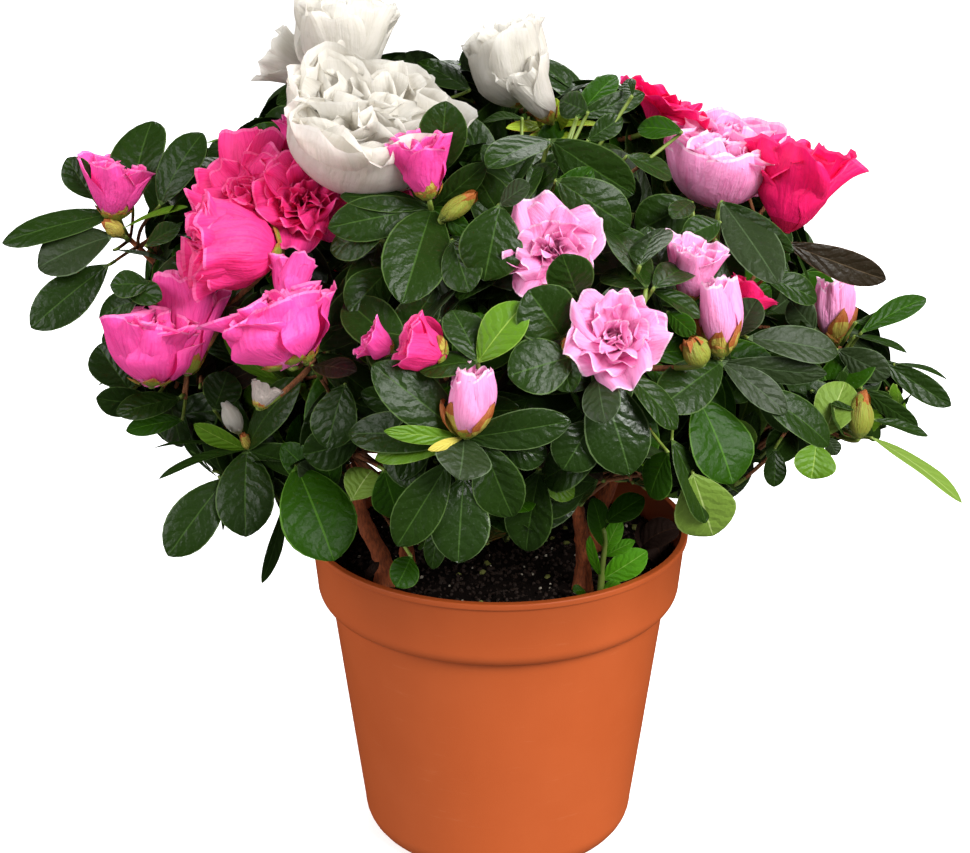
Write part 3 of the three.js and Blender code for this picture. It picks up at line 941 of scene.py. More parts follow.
# Each: colour, stage, the pixels of its base and mouth, how far the mouth stands nearer (mm), its
# radius (mm), turn (degrees) and how deep it is sunk in the foliage (mm).
FLOWERS = {
    "pink, left sprig": ("hot_pink", "opening", (113, 219), (119, 160), 5, 11.5, 0, 0),
    "pink, top of the cluster": ("deep_pink", "rosette", (258, 214), (228, 176), 16, 16.5, 40, 0),
    "pink, facing front": ("deep_pink", "rosette", (304, 214), (303, 190), 22, 13.5, 80, 0),
    "pink, spiky back": ("deep_pink", "opening", (258, 215), (246, 134), -4, 11, 10, 10),
    "pink, lying left": ("deep_pink", "cup", (281, 250), (180, 244), 5, 15, 20, 0),
    "pink, left cup": ("hot_pink", "cup", (150, 386), (156, 308), 2, 14.0, 30, 0),
    "pink, behind the left cup": ("hot_pink", "opening", (186, 374), (190, 276), -4, 11, 80, 12),
    "pink, middle cup": ("hot_pink", "cup", (289, 367), (262, 296), 1, 15.4, 130, 0),
    "pink, right of the cup": ("hot_pink", "opening", (305, 362), (302, 284), 4, 9.5, 60, 6),
    "pink, behind the middle cup": ("hot_pink", "opening", (286, 310), (293, 260), -6, 7, 0, 14),
    "pink, tall bud": ("hot_pink", "opening", (429, 199), (418, 134), 6, 9.0, 50, -9),
    "pink, half open bud": ("deep_pink", "opening", (446, 357), (404, 336), 2, 9.5, 0, 0),
    "pink, small bud": ("hot_pink", "opening", (392, 352), (364, 336), 2, 6.5, 45, 0),
    "white, highest": ("white", "full", (342, 84), (347, -4), 8, 15.5, 0, 0),
    "white, side petal": ("white", "opening", (320, 80), (266, 50), 0, 9, 0, 3),
    "pink, top petal": ("hot_pink", "opening", (292, 160), (304, 120), 4, 9, 30, 4),
    "white, big": ("white", "full", (352, 178), (372, 92), 20, 27, 30, 0),
    "white, right": ("white", "full", (528, 104), (496, 22), 6, 13.0, 10, 0),
    "white, right, bud before it": ("white", "opening", (552, 122), (515, 60), 8, 8.6, 30, -7),
    "white, faded": ("faded", "opening", (258, 408), (268, 384), 0, 4.8, 0, 5),
    "white, bud": ("white", "tight", (240, 433), (225, 401), 5, 3.2, 0, 0),
    "rose, top right": ("pale_pink", "full", (716, 203), (725, 128), 14, 17.5, 50, 0),
    "rose, middle": ("pale_pink", "rosette", (556, 262), (545, 240), 17, 14.8, 0, 0),
    "rose, low middle": ("pale_pink", "rosette", (612, 352), (618, 326), 18, 13.4, 35, 0),
    "rose, right funnel": ("pale_pink", "opening", (686, 301), (700, 241), 6, 9.3, 20, 0),
    "rose, big bud": ("pale_pink", "bud", (722, 356), (714, 278), 5, 6.8, 0, 0),
    "rose, right bud": ("pale_pink", "bud", (834, 346), (838, 280), 4, 6.6, 0, 0),
    "rose, middle bud": ("pale_pink", "bud", (466, 437), (472, 368), 8, 6.6, 0, 0),
    "crimson, top": ("crimson", "open", (652, 128), (676, 88), 2, 16.0, 0, 3),
    "crimson, right": ("crimson", "funnel", (784, 232), (806, 140), 4, 16.5, 40, 0),
    "crimson, hidden": ("crimson", "opening", (735, 320), (756, 286), 0, 8, 0, 10),
    "pink, deep left": ("deep_pink", "opening", (412, 214), (384, 194), -8, 7, 0, 14),
    "green bud": ("leaf_bud", "tight", (704, 363), (688, 339), 5, 4.2, 0, 0),
    "green bud, left of the rose": ("leaf_bud", "tight", (576, 357), (563, 340), 5, 2.6, 0, 0),
    "brown and green bud": ("leaf_bud", "tight", (859, 438), (863, 390), 2, 4.0, 0, 0),
    "yellow bud": ("leaf_bud", "tight", (440, 219), (477, 195), 4, 3.2, 0, 0),
    "left leaf bud": ("scale", "tight", (124, 236), (104, 219), 4, 2.7, 0, 0),
    "low left leaf bud": ("scale", "tight", (249, 449), (243, 433), 5, 2.1, 0, 0),
}
PETAL_STAGES = {
    # count, length, width, lean at base, middle and tip (degrees), throat, ruffle, crumple
    "rosette": [
        (5, 1.15, 1.50, (25, 58, 92), 0.10, 0.15, 0.05),
        (5, 1.02, 1.25, (20, 45, 80), 0.08, 0.18, 0.06),
        (5, 0.88, 0.98, (15, 28, 62), 0.06, 0.20, 0.07),
        (5, 0.72, 0.74, (8, 12, 36), 0.04, 0.22, 0.08),
        (4, 0.60, 0.50, (0, 5, 14), 0.01, 0.22, 0.08),
    ],
    "open": [
        (5, 1.30, 1.40, (35, 35, 88), 0.10, 0.10, 0.02),
        (5, 1.20, 1.20, (25, 25, 68), 0.08, 0.13, 0.04),
        (4, 1.00, 0.85, (15, 18, 45), 0.05, 0.17, 0.06),
        (3, 0.90, 0.60, (5, 8, 25), 0.03, 0.18, 0.07),
    ],
    "cup": [
        (5, 1.66, 1.80, (67, -2, 6), 0.06, 0.08, 0.04),
        (5, 1.74, 1.45, (56, 0, 8), 0.05, 0.13, 0.06),
        (5, 1.78, 1.15, (42, 2, 10), 0.04, 0.18, 0.08),
        (4, 1.76, 0.90, (22, 2, 8), 0.03, 0.20, 0.09),
    ],
    "funnel": [
        (5, 1.66, 1.65, (52, 2, 32), 0.08, 0.11, 0.05),
        (5, 1.66, 1.35, (42, 2, 28), 0.06, 0.16, 0.07),
        (5, 1.60, 1.10, (30, 4, 24), 0.04, 0.19, 0.09),
        (4, 1.52, 0.85, (12, 4, 16), 0.03, 0.20, 0.10),
    ],
    "full": [
        (5, 1.50, 1.75, (80, 8, 0), 0.10, 0.05, 0.01),
        (5, 1.50, 1.50, (66, 6, 10), 0.08, 0.08, 0.03),
        (6, 1.42, 1.15, (46, 6, 18), 0.05, 0.14, 0.05),
        (6, 1.32, 0.90, (24, 6, 20), 0.04, 0.17, 0.06),
        (4, 1.26, 0.70, (8, 4, 12), 0.03, 0.18, 0.07),
    ],
    "opening": [
        (5, 1.90, 1.40, (36, 0, 22), 0.10, 0.06, 0.02),
        (4, 1.85, 1.10, (26, 0, 16), 0.07, 0.09, 0.04),
        (3, 1.70, 0.75, (12, 0, 10), 0.04, 0.12, 0.06),
    ],
    "bud": [
        (5, 2.60, 1.30, (48, -2, -12), 0.10, 0.03, 0.01),
        (4, 2.50, 0.95, (34, -2, -4), 0.06, 0.06, 0.03),
        (3, 2.45, 0.60, (10, 0, 6), 0.03, 0.08, 0.04),
    ],
    "tight": [
        (5, 2.50, 1.50, (56, 4, -60), 0.15, 0.0, 0.0),
    ],
}
PETAL_ROWS = 17
PETAL_COLUMNS = 21
PLAIN_ROWS = 10
PLAIN_COLUMNS = 9
# Shares of a petal: how closely its points are set at the edges, the claw's width, where it is
# broadest, how tightly it wraps round the axis, how high it ruffles, and each wave of the ruffle
# with its weight.
EDGE_CROWDING = 0.86
CLAW_WIDTH = 0.18
BROADEST_AT = 0.58
TIGHTEST_WRAP = 0.62
RUFFLE_HEIGHT = 0.72
FRILLS = ((1.0, 0.45), (2.1, 0.85), (3.5, 0.32))
# Where along a petal its throat ends and its rim begins.
THROAT_TO = 0.2
RIM_FROM = 0.965
TIGHT_RIM_FROM = 0.86
FLOWER_SEAT = 3


def make_petal(rng, length, width, lean, throat, ruffle, crumple, rows, columns, pointed=0.0):
    """Points of one petal round the upright axis, and the place of each in the petal."""
    # Across it a runs from -1 to 1, and along it b from 0 to 1, both closer set towards the rim.
    t = np.linspace(0, 1, rows)[:, None]
    b = 1.45 * t - 0.45 * t**2
    a = np.sin(np.linspace(-1, 1, columns)[None] * math.pi / 2 * EDGE_CROWDING)
    a = a / math.sin(math.pi / 2 * EDGE_CROWDING)
    start, middle, end = [math.radians(x + rng.normal(0, 4)) for x in lean]
    angle = (1 - b) ** 2 * start + 2 * b * (1 - b) * middle + b**2 * end
    step = np.diff(b, axis=0, prepend=0)
    out = np.cumsum(np.sin(angle) * step, 0)
    up = np.cumsum(np.cos(angle) * step, 0)
    notch = 0.04 * np.sin(a * rng.uniform(3, 5) + rng.uniform(0, 6)) - 0.05 * a**2 - 0.22 * a**6
    notch = notch + 0.02 * np.sin(a * rng.uniform(8, 11) + rng.uniform(0, 6))
    reach = length * (1 + notch * b) * rng.uniform(0.92, 1.08)
    broad = np.clip(b / BROADEST_AT, 0, 1)
    broad = CLAW_WIDTH + 0.82 * broad * broad * (3 - 2 * broad)
    half = width / 2 * broad * (1 - 0.2 * b**6) * rng.uniform(0.94, 1.1)
    half = half * np.sqrt(1 - pointed * b**2.5)
    across = a * half
    radius = throat + reach * out
    bend = np.maximum(radius, half * TIGHTEST_WRAP)
    turned = across / bend
    edge = np.clip((np.maximum(np.abs(a) * b**0.3, b) - 0.5) / 0.5, 0, 1) ** 1.5 * b
    wave = np.zeros((rows, columns))
    for frills, weight in FRILLS:
        lift = rng.uniform(0, ANY_TURN)
        wave += weight * np.sin(frills * math.pi * a * rng.uniform(0.8, 1.2) + 2 * b + lift)
    crease = waves(np.stack(np.broadcast_arrays(across * 2, b * 1.6), -1), 6, 1.3, rng)
    offset = length * (RUFFLE_HEIGHT * ruffle * edge * wave + crumple * crease * b)
    offset = offset + across * rng.normal(0.05, 0.12) + 0.05 * length * (a**2) * b
    normal_out = np.cos(angle)
    x = radius - bend + bend * np.cos(turned) - offset * normal_out * np.cos(turned)
    y = bend * np.sin(turned) - offset * normal_out * np.sin(turned)
    z = reach * up + offset * np.sin(angle)
    spots = np.stack(np.broadcast_arrays(x, y, z), -1).reshape(-1, 3)
    places = np.stack(np.broadcast_arrays((a + 1) / 2, b), -1).reshape(-1, 2)
    return spots, places


def grid_faces(rows, columns):
    """The faces of a grid of points, row by row."""
    row, column = np.meshgrid(np.arange(rows - 1), np.arange(columns - 1), indexing="ij")
    corner = (row * columns + column).ravel()
    return np.stack([corner, corner + 1, corner + columns + 1, corner + columns], -1)


def turned_about(spots, angle):
    """Points turned about the upright axis."""
    c, s = math.cos(angle), math.sin(angle)
    return spots @ np.array([[c, s, 0], [-s, c, 0], [0, 0, 1]])


def frame_about(axis, turn):
    """Three directions: two across an axis, turned about it, and the axis."""
    axis = np.asarray(axis, float)
    axis = axis / np.linalg.norm(axis)
    side = np.cross(axis, (0.13, 0.31, 0.94) if abs(axis[2]) < 0.8 else (1.0, 0.2, 0.1))
    side /= np.linalg.norm(side)
    other = np.cross(axis, side)
    c, s = math.cos(turn), math.sin(turn)
    return np.array([side * c + other * s, other * c - side * s, axis])


petal_stores = {}


def store_petals(colour, spots, places, rows, columns, rim_from):
    """Adds a petal to its colour's store, with each face's zone: body, throat or rim."""
    store = petal_stores.setdefault(colour, {"spots": [], "faces": [], "uv": [], "zone": [], "n": 0})
    cells = grid_faces(rows, columns)
    middle = places[cells].mean(1)
    edge = np.maximum(np.abs(middle[:, 0] * 2 - 1) * middle[:, 1] ** 0.3, middle[:, 1])
    zone = np.where(middle[:, 1] < THROAT_TO, 1, np.where(edge > rim_from, 2, 0))
    store["spots"].append(spots)
    store["faces"].append(cells + store["n"])
    store["uv"].append(places[cells].reshape(-1, 2))
    store["zone"].append(zone)
    store["n"] += len(spots)


def make_flower(colour, stage, base, mouth, radius, turn, rng, fine=True):
    """A flower from its base to its mouth, of one radius, put in its colour's store."""
    rows, columns = (PETAL_ROWS, PETAL_COLUMNS) if fine else (PLAIN_ROWS, PLAIN_COLUMNS)
    axis = mouth - base
    height = np.linalg.norm(axis)
    way = frame_about(axis, math.radians(turn))
    petals = []
    for ring, whorl in enumerate(PETAL_STAGES[stage]):
        count = whorl[0]
        for k in range(count):
            spots, places = make_petal(rng, *whorl[1:], rows, columns)
            angle = (k + 0.5 * ring) * 2 * math.pi / count + rng.normal(0, 0.12)
            petals.append((turned_about(spots, angle), places))
    every = np.vstack([spots for spots, _ in petals])
    wide = np.percentile(np.hypot(every[:, 0], every[:, 1]), 98.5)
    tall = every[:, 2].max() * 0.97
    size = np.array((radius / wide, radius / wide, height / tall))
    rim_from = TIGHT_RIM_FROM if stage == "tight" and colour != "white" else RIM_FROM
    for spots, places in petals:
        store_petals(colour, (spots * size) @ way + base, places, rows, columns, rim_from)
    behind = 0.75 * radius if stage in ("cup", "full", "opening", "bud") else 0.3 * radius
    front_marks.append((base, mouth, radius, behind))
    return way, size


# Length, width and lean of the bud scales and calyx lobes, in the same measure as the petals.
SCALES = {
    "bud": (1.75, 1.0, (48, 16, 2)),
    "opening": (0.85, 0.62, (36, 10, 10)),
}
CALYX = {
    "bud": (0.85, 0.75, (54, 30, 18)),
    "opening": (0.42, 0.42, (46, 26, 24)),
    "cup": (0.34, 0.34, (72, 48, 34)),
    "full": (0.24, 0.28, (84, 66, 52)),
}
SCALE_ROWS = 8
SCALE_COLUMNS = 5
SCALE_RIM_FROM = 0.62
SCALE_CLEARANCE = (1.09, 1.09, 1)


def make_scales(colour, base, way, size, shape, count, rng):
    """A ring of bud scales or calyx lobes that clasps a flower's base."""
    length, width, lean = shape
    for k in range(count):
        long = length * rng.uniform(0.75, 1.1)
        grid = SCALE_ROWS, SCALE_COLUMNS
        spots, places = make_petal(rng, long, width, lean, 0.13, 0.01, 0.0, *grid, pointed=0.94)
        angle = k * 2 * math.pi / count + rng.normal(0, 0.15)
        spots = (turned_about(spots, angle) * size * SCALE_CLEARANCE) @ way + base
        store_petals(colour, spots, places, SCALE_ROWS, SCALE_COLUMNS, SCALE_RIM_FROM)


def grow_flower(colour, stage, base_at, mouth_at, nearer, radius, turn, sunk, rng):
    """One flower on its twig, with its bud scales and calyx."""
    depth, key = crown_depth(*[(b + m) / 2 for b, m in zip(base_at, mouth_at)])
    if key is None:
        depth, key = crown_beside(*base_at)
    base = to_plant(*base_at, depth + FLOWER_SEAT + sunk + nearer * 0.5)
    mouth = to_plant(*mouth_at, depth + FLOWER_SEAT + sunk - nearer * 0.5)
    way, size = make_flower(colour, stage, base, mouth, radius, turn, rng)
    if stage in SCALES:
        make_scales("scale", base, way, size, SCALES[stage], 6 if stage == "bud" else 3, rng)
    if stage in CALYX:
        make_scales("calyx", base, way, size, CALYX[stage], 5, rng)
    grow_twig(masses[key], base, way[2] * 0.5 + to_camera * 0.55, rng, 1.25, 0.5)


rng = np.random.default_rng(41)
for flower in FLOWERS.values():
    grow_flower(*flower, rng)


# ---- The rest of the crown ------------------------------------------------------------------------
# More shoots, spread evenly over every mass, end in whorls of leaves set by the golden angle. They
# fill the crown behind the outer whorls and all round the back, and stay out of the sky between them.
# Some shoots at the back, the top and the sides bear a flower.
SHOOTS_TO_A_MASS = 15
SHOOT_PLACE = (0.15, 0.64)
LEAVES_TO_A_SHOOT = (6, 9)
LEAF_LENGTH = (21, 31)
LEAF_LEAN = (38, 60)
LEAN_STEP = 6
NODE_STEP = 0.9
LEAF_ROOM = 1.5
FEWEST_LEAVES = 2
GOLDEN_ANGLE = 2.39996
BACK_FLOWERS = 20
# The outline of the foliage in the view's pixels. No filling leaf crosses it, nor the gaps in it,
# each with its middle and reach.
CROWN_OUTLINE = np.array(
    [
        (150, 150), (205, 140), (250, 128), (280, 92), (300, 66), (330, 40), (385, 40), (410, 62),
        (455, 66), (470, 40), (525, 40), (550, 84), (580, 80), (610, 77), (640, 98), (668, 118),
        (720, 146), (760, 166), (815, 196), (790, 245), (830, 275), (815, 292), (850, 318),
        (885, 345), (915, 400), (895, 428), (850, 440), (800, 440), (790, 470), (742, 478),
        (730, 520), (690, 512), (660, 498), (640, 482), (598, 468), (560, 535), (520, 548),
        (460, 558), (420, 558), (395, 500), (372, 430), (345, 470), (352, 535), (330, 556),
        (290, 500), (262, 480), (245, 530), (180, 545), (222, 478), (165, 440), (100, 400),
        (100, 335), (150, 290),
    ]
)
SKY_GAPS = [(365, 455, 20), (612, 478, 12), (140, 248, 9), (356, 363, 6), (284, 378, 4)]


def inside_outline(points, outline):
    """Which pixels lie inside a closed outline."""
    inside = np.zeros(len(points), bool)
    for start, end in zip(outline, np.roll(outline, -1, 0)):
        if start[1] == end[1]:
            continue
        crosses = (start[1] > points[:, 1]) != (end[1] > points[:, 1])
        share = (points[:, 1] - start[1]) / (end[1] - start[1])
        inside ^= crosses & (points[:, 0] < start[0] + share * (end[0] - start[0]))
    return inside


def in_sky(pixels):
    """Whether any of the pixels lies outside the foliage or in one of its gaps."""
    if not inside_outline(pixels, CROWN_OUTLINE).all():
        return True
    gaps = [np.hypot(pixels[:, 0] - x, pixels[:, 1] - y) < reach for x, y, reach in SKY_GAPS]
    return bool(np.any(gaps))


GRID_PIXELS = 4
GRID_SHAPE = (VIEW_SIZE[1] // GRID_PIXELS + 2, VIEW_SIZE[0] // GRID_PIXELS + 2)


def cells_under(start, end, half_width):
    """The cells of a coarse grid over the view that a piece covers, and its depth at each."""
    for share in np.linspace(0.08, 0.95, 14):
        point = start + (end - start) * share
        x, y, distance = seen_points([point * MM])[0]
        reach = half_width * 0.85 * MM / distance * FOCAL_PIXELS
        columns = np.arange(max(0, x - reach), min(VIEW_SIZE[0], x + reach), GRID_PIXELS)
        rows = np.arange(max(0, y - reach), min(VIEW_SIZE[1], y + reach), GRID_PIXELS)
        if len(columns) and len(rows):
            rows, columns = [(axis // GRID_PIXELS).astype(int) for axis in (rows, columns)]
            yield np.ix_(rows, columns), distance / MM


# How far the pieces placed one by one reach: filling leaves stay behind.
front_reach = np.full(GRID_SHAPE, np.inf)
for start, end, half_width, behind in front_marks:
    if not behind:
        for cell, depth in cells_under(start, end, half_width):
            front_reach[cell] = np.minimum(front_reach[cell], depth)
for start, end, half_width, behind in front_marks:
    if behind:
        farthest = max(ahead_of_camera(start), ahead_of_camera(end)) + behind
        for cell, depth in cells_under(start, end, half_width):
            held = front_reach[cell]
            front_reach[cell] = np.where(np.isinf(held), farthest, np.maximum(held, farthest))


def allowed(points, room):
    """Whether a filling piece's points keep behind the placed pieces and inside the outline."""
    seen = seen_points(np.asarray(points) * MM)
    if in_sky(seen):
        return False
    row = np.clip(seen[:, 1] // GRID_PIXELS, 0, front_reach.shape[0] - 1).astype(int)
    column = np.clip(seen[:, 0] // GRID_PIXELS, 0, front_reach.shape[1] - 1).astype(int)
    return bool((seen[:, 2] / MM > front_reach[row, column] + room).all())


FAR_OUT = 260
FAR_IN = 240


def surface_along(way):
    """How far the crown reaches from its middle in a direction, and the mass met there."""
    reach, farthest_key = math.nan, ""
    for key, mass in masses.items():
        start = Vector(CROWN_MIDDLE + way * FAR_OUT)
        hit = mass["shell"].ray_cast(start, Vector(-way), FAR_IN)[0]
        if hit is None:
            continue
        out = float((np.array(hit) - CROWN_MIDDLE) @ way)
        if math.isnan(reach) or out > reach:
            reach, farthest_key = out, key
    return reach, farthest_key


def spread_way(k, count, lowest, start=0.0):
    """The k-th of many directions spread evenly from straight up down to a lowest height."""
    height = 1 - (1 - lowest) * (k + 0.5) / count
    flat = math.sqrt(1 - height * height)
    turn = start + k * GOLDEN_ANGLE
    return np.array((flat * math.cos(turn), flat * math.sin(turn), height))


# Flowers of the back, the sides and the top, set apart from one another.
rng = np.random.default_rng(19)
COLOURS = ["hot_pink", "pale_pink", "white", "crimson", "deep_pink"]
STAGES = ["rosette", "cup", "full", "opening", "open", "rosette", "funnel"]
# The radius and height of each stage, in mm.
BACK_SIZES = {
    "rosette": (17.5, 16), "cup": (15, 26), "full": (17.5, 28), "opening": (10, 22),
    "open": (17.5, 20), "funnel": (15, 27),
}
LOWEST_MOUTH = 160.0
BEHIND_FRONT = 30.0
FLOWER_SPACING = 44.0
TRIED_WAYS = 260
LOWEST_WAY = -0.3
AIR_BEFORE = 25
flower_rooms = []
for k in rng.permutation(TRIED_WAYS):
    if len(flower_rooms) == BACK_FLOWERS:
        break
    outward = spread_way(k, TRIED_WAYS, LOWEST_WAY)
    reach, key = surface_along(outward)
    if not key or outward[1] < -0.15 or (outward[1] < 0.05 and abs(outward[0]) < 0.7):
        continue
    mouth = CROWN_MIDDLE + outward * (reach + 1)
    if mouth[2] < LOWEST_MOUTH:
        continue
    if any(np.linalg.norm(mouth - room[1]) < FLOWER_SPACING for room in flower_rooms):
        continue
    front = crown_depth(*seen_points([mouth * MM])[0][:2])[0]
    if front is not None and ahead_of_camera(mouth) < front + BEHIND_FRONT:
        continue
    stage = STAGES[rng.integers(len(STAGES))]
    radius, height = BACK_SIZES[stage]
    radius *= rng.uniform(0.9, 1.1)
    way = outward + np.array((0, 0, 0.4)) + rng.normal(0, 0.15, 3)
    way /= np.linalg.norm(way)
    base = mouth - way * height
    around = frame_about(way, 0)
    ring = [base, mouth, base + way * height * 0.5]
    for angle in np.linspace(0, 2 * math.pi, 9)[1:]:
        aside = around[0] * math.cos(angle) + around[1] * math.sin(angle)
        ring.append(mouth + aside * radius * 1.05)
    if not allowed(ring, 2):
        continue
    colour = COLOURS[len(flower_rooms) % len(COLOURS)]
    way, size = make_flower(colour, stage, base, mouth, radius, rng.uniform(0, 72), rng, fine=False)
    if stage in CALYX:
        make_scales("calyx", base, way, size, CALYX[stage], 5, rng)
    grow_twig(masses[key], base, way[2], rng, 1.25, 0.4)
    flower_rooms.append((base, mouth, way[2], radius, height))


def clear_of_flowers(root, tip):
    """Whether a leaf keeps out of the back flowers and of the air before them."""
    spots = root + np.linspace(0.1, 1, 6)[:, None] * (tip - root)
    for base, _, way, radius, height in flower_rooms:
        along = (spots - base) @ way
        beside = np.linalg.norm(spots - base - along[:, None] * way, axis=1)
        if ((along > height * 0.35) & (along < height + AIR_BEFORE) & (beside < radius * 0.9)).any():
            return False
    return True


rng = np.random.default_rng(97)
TONES = ["dark"] * 18 + ["shiny"] * 8 + ["dull"] * 6 + ["mid"] * 6 + ["light"] + ["bronze"] * 2
MOST_INWARD = 0.75


def grow_shoot(mass, node, axis, rng):
    """A twig that ends in a whorl of leaves, if enough of its leaves keep clear of the pieces."""
    tone = TONES[rng.integers(len(TONES))]
    across = frame_about(axis, rng.uniform(0, ANY_TURN))
    whorl = []
    for number in range(rng.integers(*LEAVES_TO_A_SHOOT)):
        polar = math.radians(rng.uniform(*LEAF_LEAN) + number * LEAN_STEP)
        azimuth = number * GOLDEN_ANGLE + rng.normal(0, 0.12)
        radial = across[0] * math.cos(azimuth) + across[1] * math.sin(azimuth)
        aim = axis * math.cos(polar) + radial * math.sin(polar)
        length = rng.uniform(*LEAF_LENGTH)
        width = length * rng.uniform(0.42, 0.52)
        root = node - axis * number * NODE_STEP
        tip = root + aim * length
        side = np.cross(aim, axis)
        side *= 0.38 * width / np.linalg.norm(side)
        middle = root + aim * length * 0.55
        if not allowed([root + aim * 4, middle, middle + side, middle - side, tip], LEAF_ROOM):
            continue
        if not clear_of_flowers(root, tip):
            continue
        face = axis + rng.normal(0, 0.2, 3)
        turn = rng.normal(0, 20)
        own_tone = tone if rng.random() < 0.85 else "dark"
        whorl.append(one_leaf(root, tip, face, turn, width, own_tone, rng.uniform(0.2, 0.75)))
    if len(whorl) < FEWEST_LEAVES:
        return False
    leaves.extend(whorl)
    grow_twig(mass, whorl[0]["root"], axis, rng)
    return True


for key, mass in masses.items():
    inward = CROWN_MIDDLE - mass["middle"]
    inward = inward / np.linalg.norm(inward)
    spin_start = rng.uniform(0, ANY_TURN)
    for k in range(SHOOTS_TO_A_MASS):
        way = spread_way(k, SHOOTS_TO_A_MASS, -1, spin_start)
        if way @ inward > MOST_INWARD:
            continue
        node = mass["middle"] + mass["half"] * way * rng.uniform(*SHOOT_PLACE)
        axis = way * 0.8 - inward * 0.35 + np.array((0, 0, 0.45)) + rng.normal(0, 0.12, 3)
        axis /= np.linalg.norm(axis)
        grow_shoot(mass, node, axis, rng)

# More shoots where the crown's surface is still bare, seen from its middle. Between two masses the
# surface runs on from one to the other.
SURFACE_POINTS = 1000
SURFACE_DEPTHS = (9, 23, 38)
BARE_REACH = 10.0
BRIDGED_ABOVE = -0.42
SURFACE_LOWEST = -0.75
SHOOT_SETBACK = 13
surface_ways = [spread_way(k, SURFACE_POINTS, SURFACE_LOWEST) for k in range(SURFACE_POINTS)]
surface_ways = np.array(surface_ways)
surface_met = [surface_along(way) for way in surface_ways]
surface_reach = np.array([reach for reach, _ in surface_met])
surface_key = [key for _, key in surface_met]
met = ~np.isnan(surface_reach)
for way, reach, key in zip(surface_ways, surface_reach, surface_key):
    if math.isnan(reach):
        if way[2] < BRIDGED_ABOVE:
            continue
        closest = np.argsort(-(surface_ways[met] @ way))[:5]
        reach = surface_reach[met][closest].mean() * 0.92
        key = np.array(surface_key)[met][closest[0]]
    axis = way * 0.75 + np.array((0, 0, 0.35)) + rng.normal(0, 0.15, 3)
    axis /= np.linalg.norm(axis)
    middles = np.array([(leaf["root"] + leaf["tip"]) / 2 for leaf in leaves])
    for sunk in SURFACE_DEPTHS:
        spot = CROWN_MIDDLE + way * (reach - sunk)
        if np.linalg.norm(middles - spot, axis=1).min() < BARE_REACH:
            break
        if grow_shoot(masses[key], spot - way * SHOOT_SETBACK, axis, rng):
            break

# And where the sky would show through the crown from the front.
HOLE_ROWS = range(60, 540, 7)
HOLE_COLUMNS = range(100, 940, 7)
HOLE_DEPTHS = (16, 30, 46, 64, 84)
covered = np.zeros(GRID_SHAPE, bool)
for start, end, half_width, _ in front_marks:
    for cell, _ in cells_under(start, end, half_width * 0.5):
        covered[cell] = True
for leaf in leaves:
    for cell, _ in cells_under(leaf["root"], leaf["tip"], leaf["width"] * 0.28):
        covered[cell] = True
for y in HOLE_ROWS:
    for x in HOLE_COLUMNS:
        if covered[y // GRID_PIXELS, x // GRID_PIXELS]:
            continue
        if in_sky(np.array([[x, y]])):
            continue
        depth, key = crown_beside(x, y)
        for deeper in HOLE_DEPTHS:
            aim = rng.normal(0, 1, 3)
            aim -= to_camera * (aim @ to_camera) * 0.7
            aim /= np.linalg.norm(aim)
            length = rng.uniform(*LEAF_LENGTH)
            middle = to_plant(x, y, depth + deeper)
            root, tip = middle - aim * length * 0.5, middle + aim * length * 0.5
            if not allowed([root + aim * 3, middle, tip - aim], LEAF_ROOM):
                continue
            face = to_camera + rng.normal(0, 0.4, 3)
            turn = rng.normal(0, 12)
            width = length * rng.uniform(0.44, 0.54)
            leaves.append(one_leaf(root, tip, face, turn, width, "dark", rng.uniform(0.2, 0.7)))
            grow_twig(masses[key], root, aim, rng, 0.8, 0.3)
            for cell, _ in cells_under(root, tip, width * 0.34):
                covered[cell] = True
            break


# ---- Young shoot, dead leaves and painted shade, fallen leaf at the peat --------------------------
# A soft bright green shoot springs from the foot of the right-hand stem. Two dark brown dead leaves lie
# curled against the inside of the pot beside it: partly a real dead leaf, partly painted shade on the
# pot's inner wall.
SHOOT_FOOT = (600, 592)
SHOOT_NODES = [(603, 560), (606, 540), (603, 528)]
YOUNG_STEM_R = (1.3, 0.8)
SHOOT_Y = -38.0
# The two dead leaves inside the pot stand this far back; they are partly a real dead leaf and partly
# dark sheets of painted shade on the pot's inner wall.
DEAD_LEAF_AND_SHADE_SHEET_Y = -12.0
FALLEN_LEAF_Y = -30.0
# The pixels of each leaf's base and tip, its place from front to back, how far the tip stands nearer
# (mm), its width (mm) and its tone.
SHOOT_LEAVES = [
    ((603, 579), (647, 551), SHOOT_Y, 2, 9.5, "young"),
    ((601, 577), (590, 536), SHOOT_Y, 3, 4.5, "young"),
    ((605, 556), (635, 541), SHOOT_Y, 3, 4.5, "young"),
    ((605, 552), (621, 519), SHOOT_Y, 1, 6.0, "young"),
    ((603, 546), (592, 498), SHOOT_Y, 0, 9.5, "mid"),
    ((606, 522), (644, 497), SHOOT_Y, -3, 9.0, "mid"),
    ((603, 587), (624, 591), SHOOT_Y, 5, 6.0, "young"),
    ((585, 591), (573, 592), SHOOT_Y, 4, 4.5, "mid"),
    # These two dead leaves are partly a real dead leaf with a brown tip and partly dark sheets laid
    # over the shaded inside of the pot as painted shade.
    ((640, 548), (678, 528), DEAD_LEAF_AND_SHADE_SHEET_Y, -3, 12.0, "dead"),
    ((664, 570), (640, 522), DEAD_LEAF_AND_SHADE_SHEET_Y, -8, 12.0, "dead"),
    ((366, 581), (379, 562), FALLEN_LEAF_Y, 0, 3.0, "dead"),
]


def at_y(x, y, place_y):
    """The point in mm seen at (x, y) that stands at one distance from front to back."""
    line = sight_line(x, y)
    start = CAMERA_PLACE / MM
    return np.array(start + line * ((place_y - start.y) / line.y))


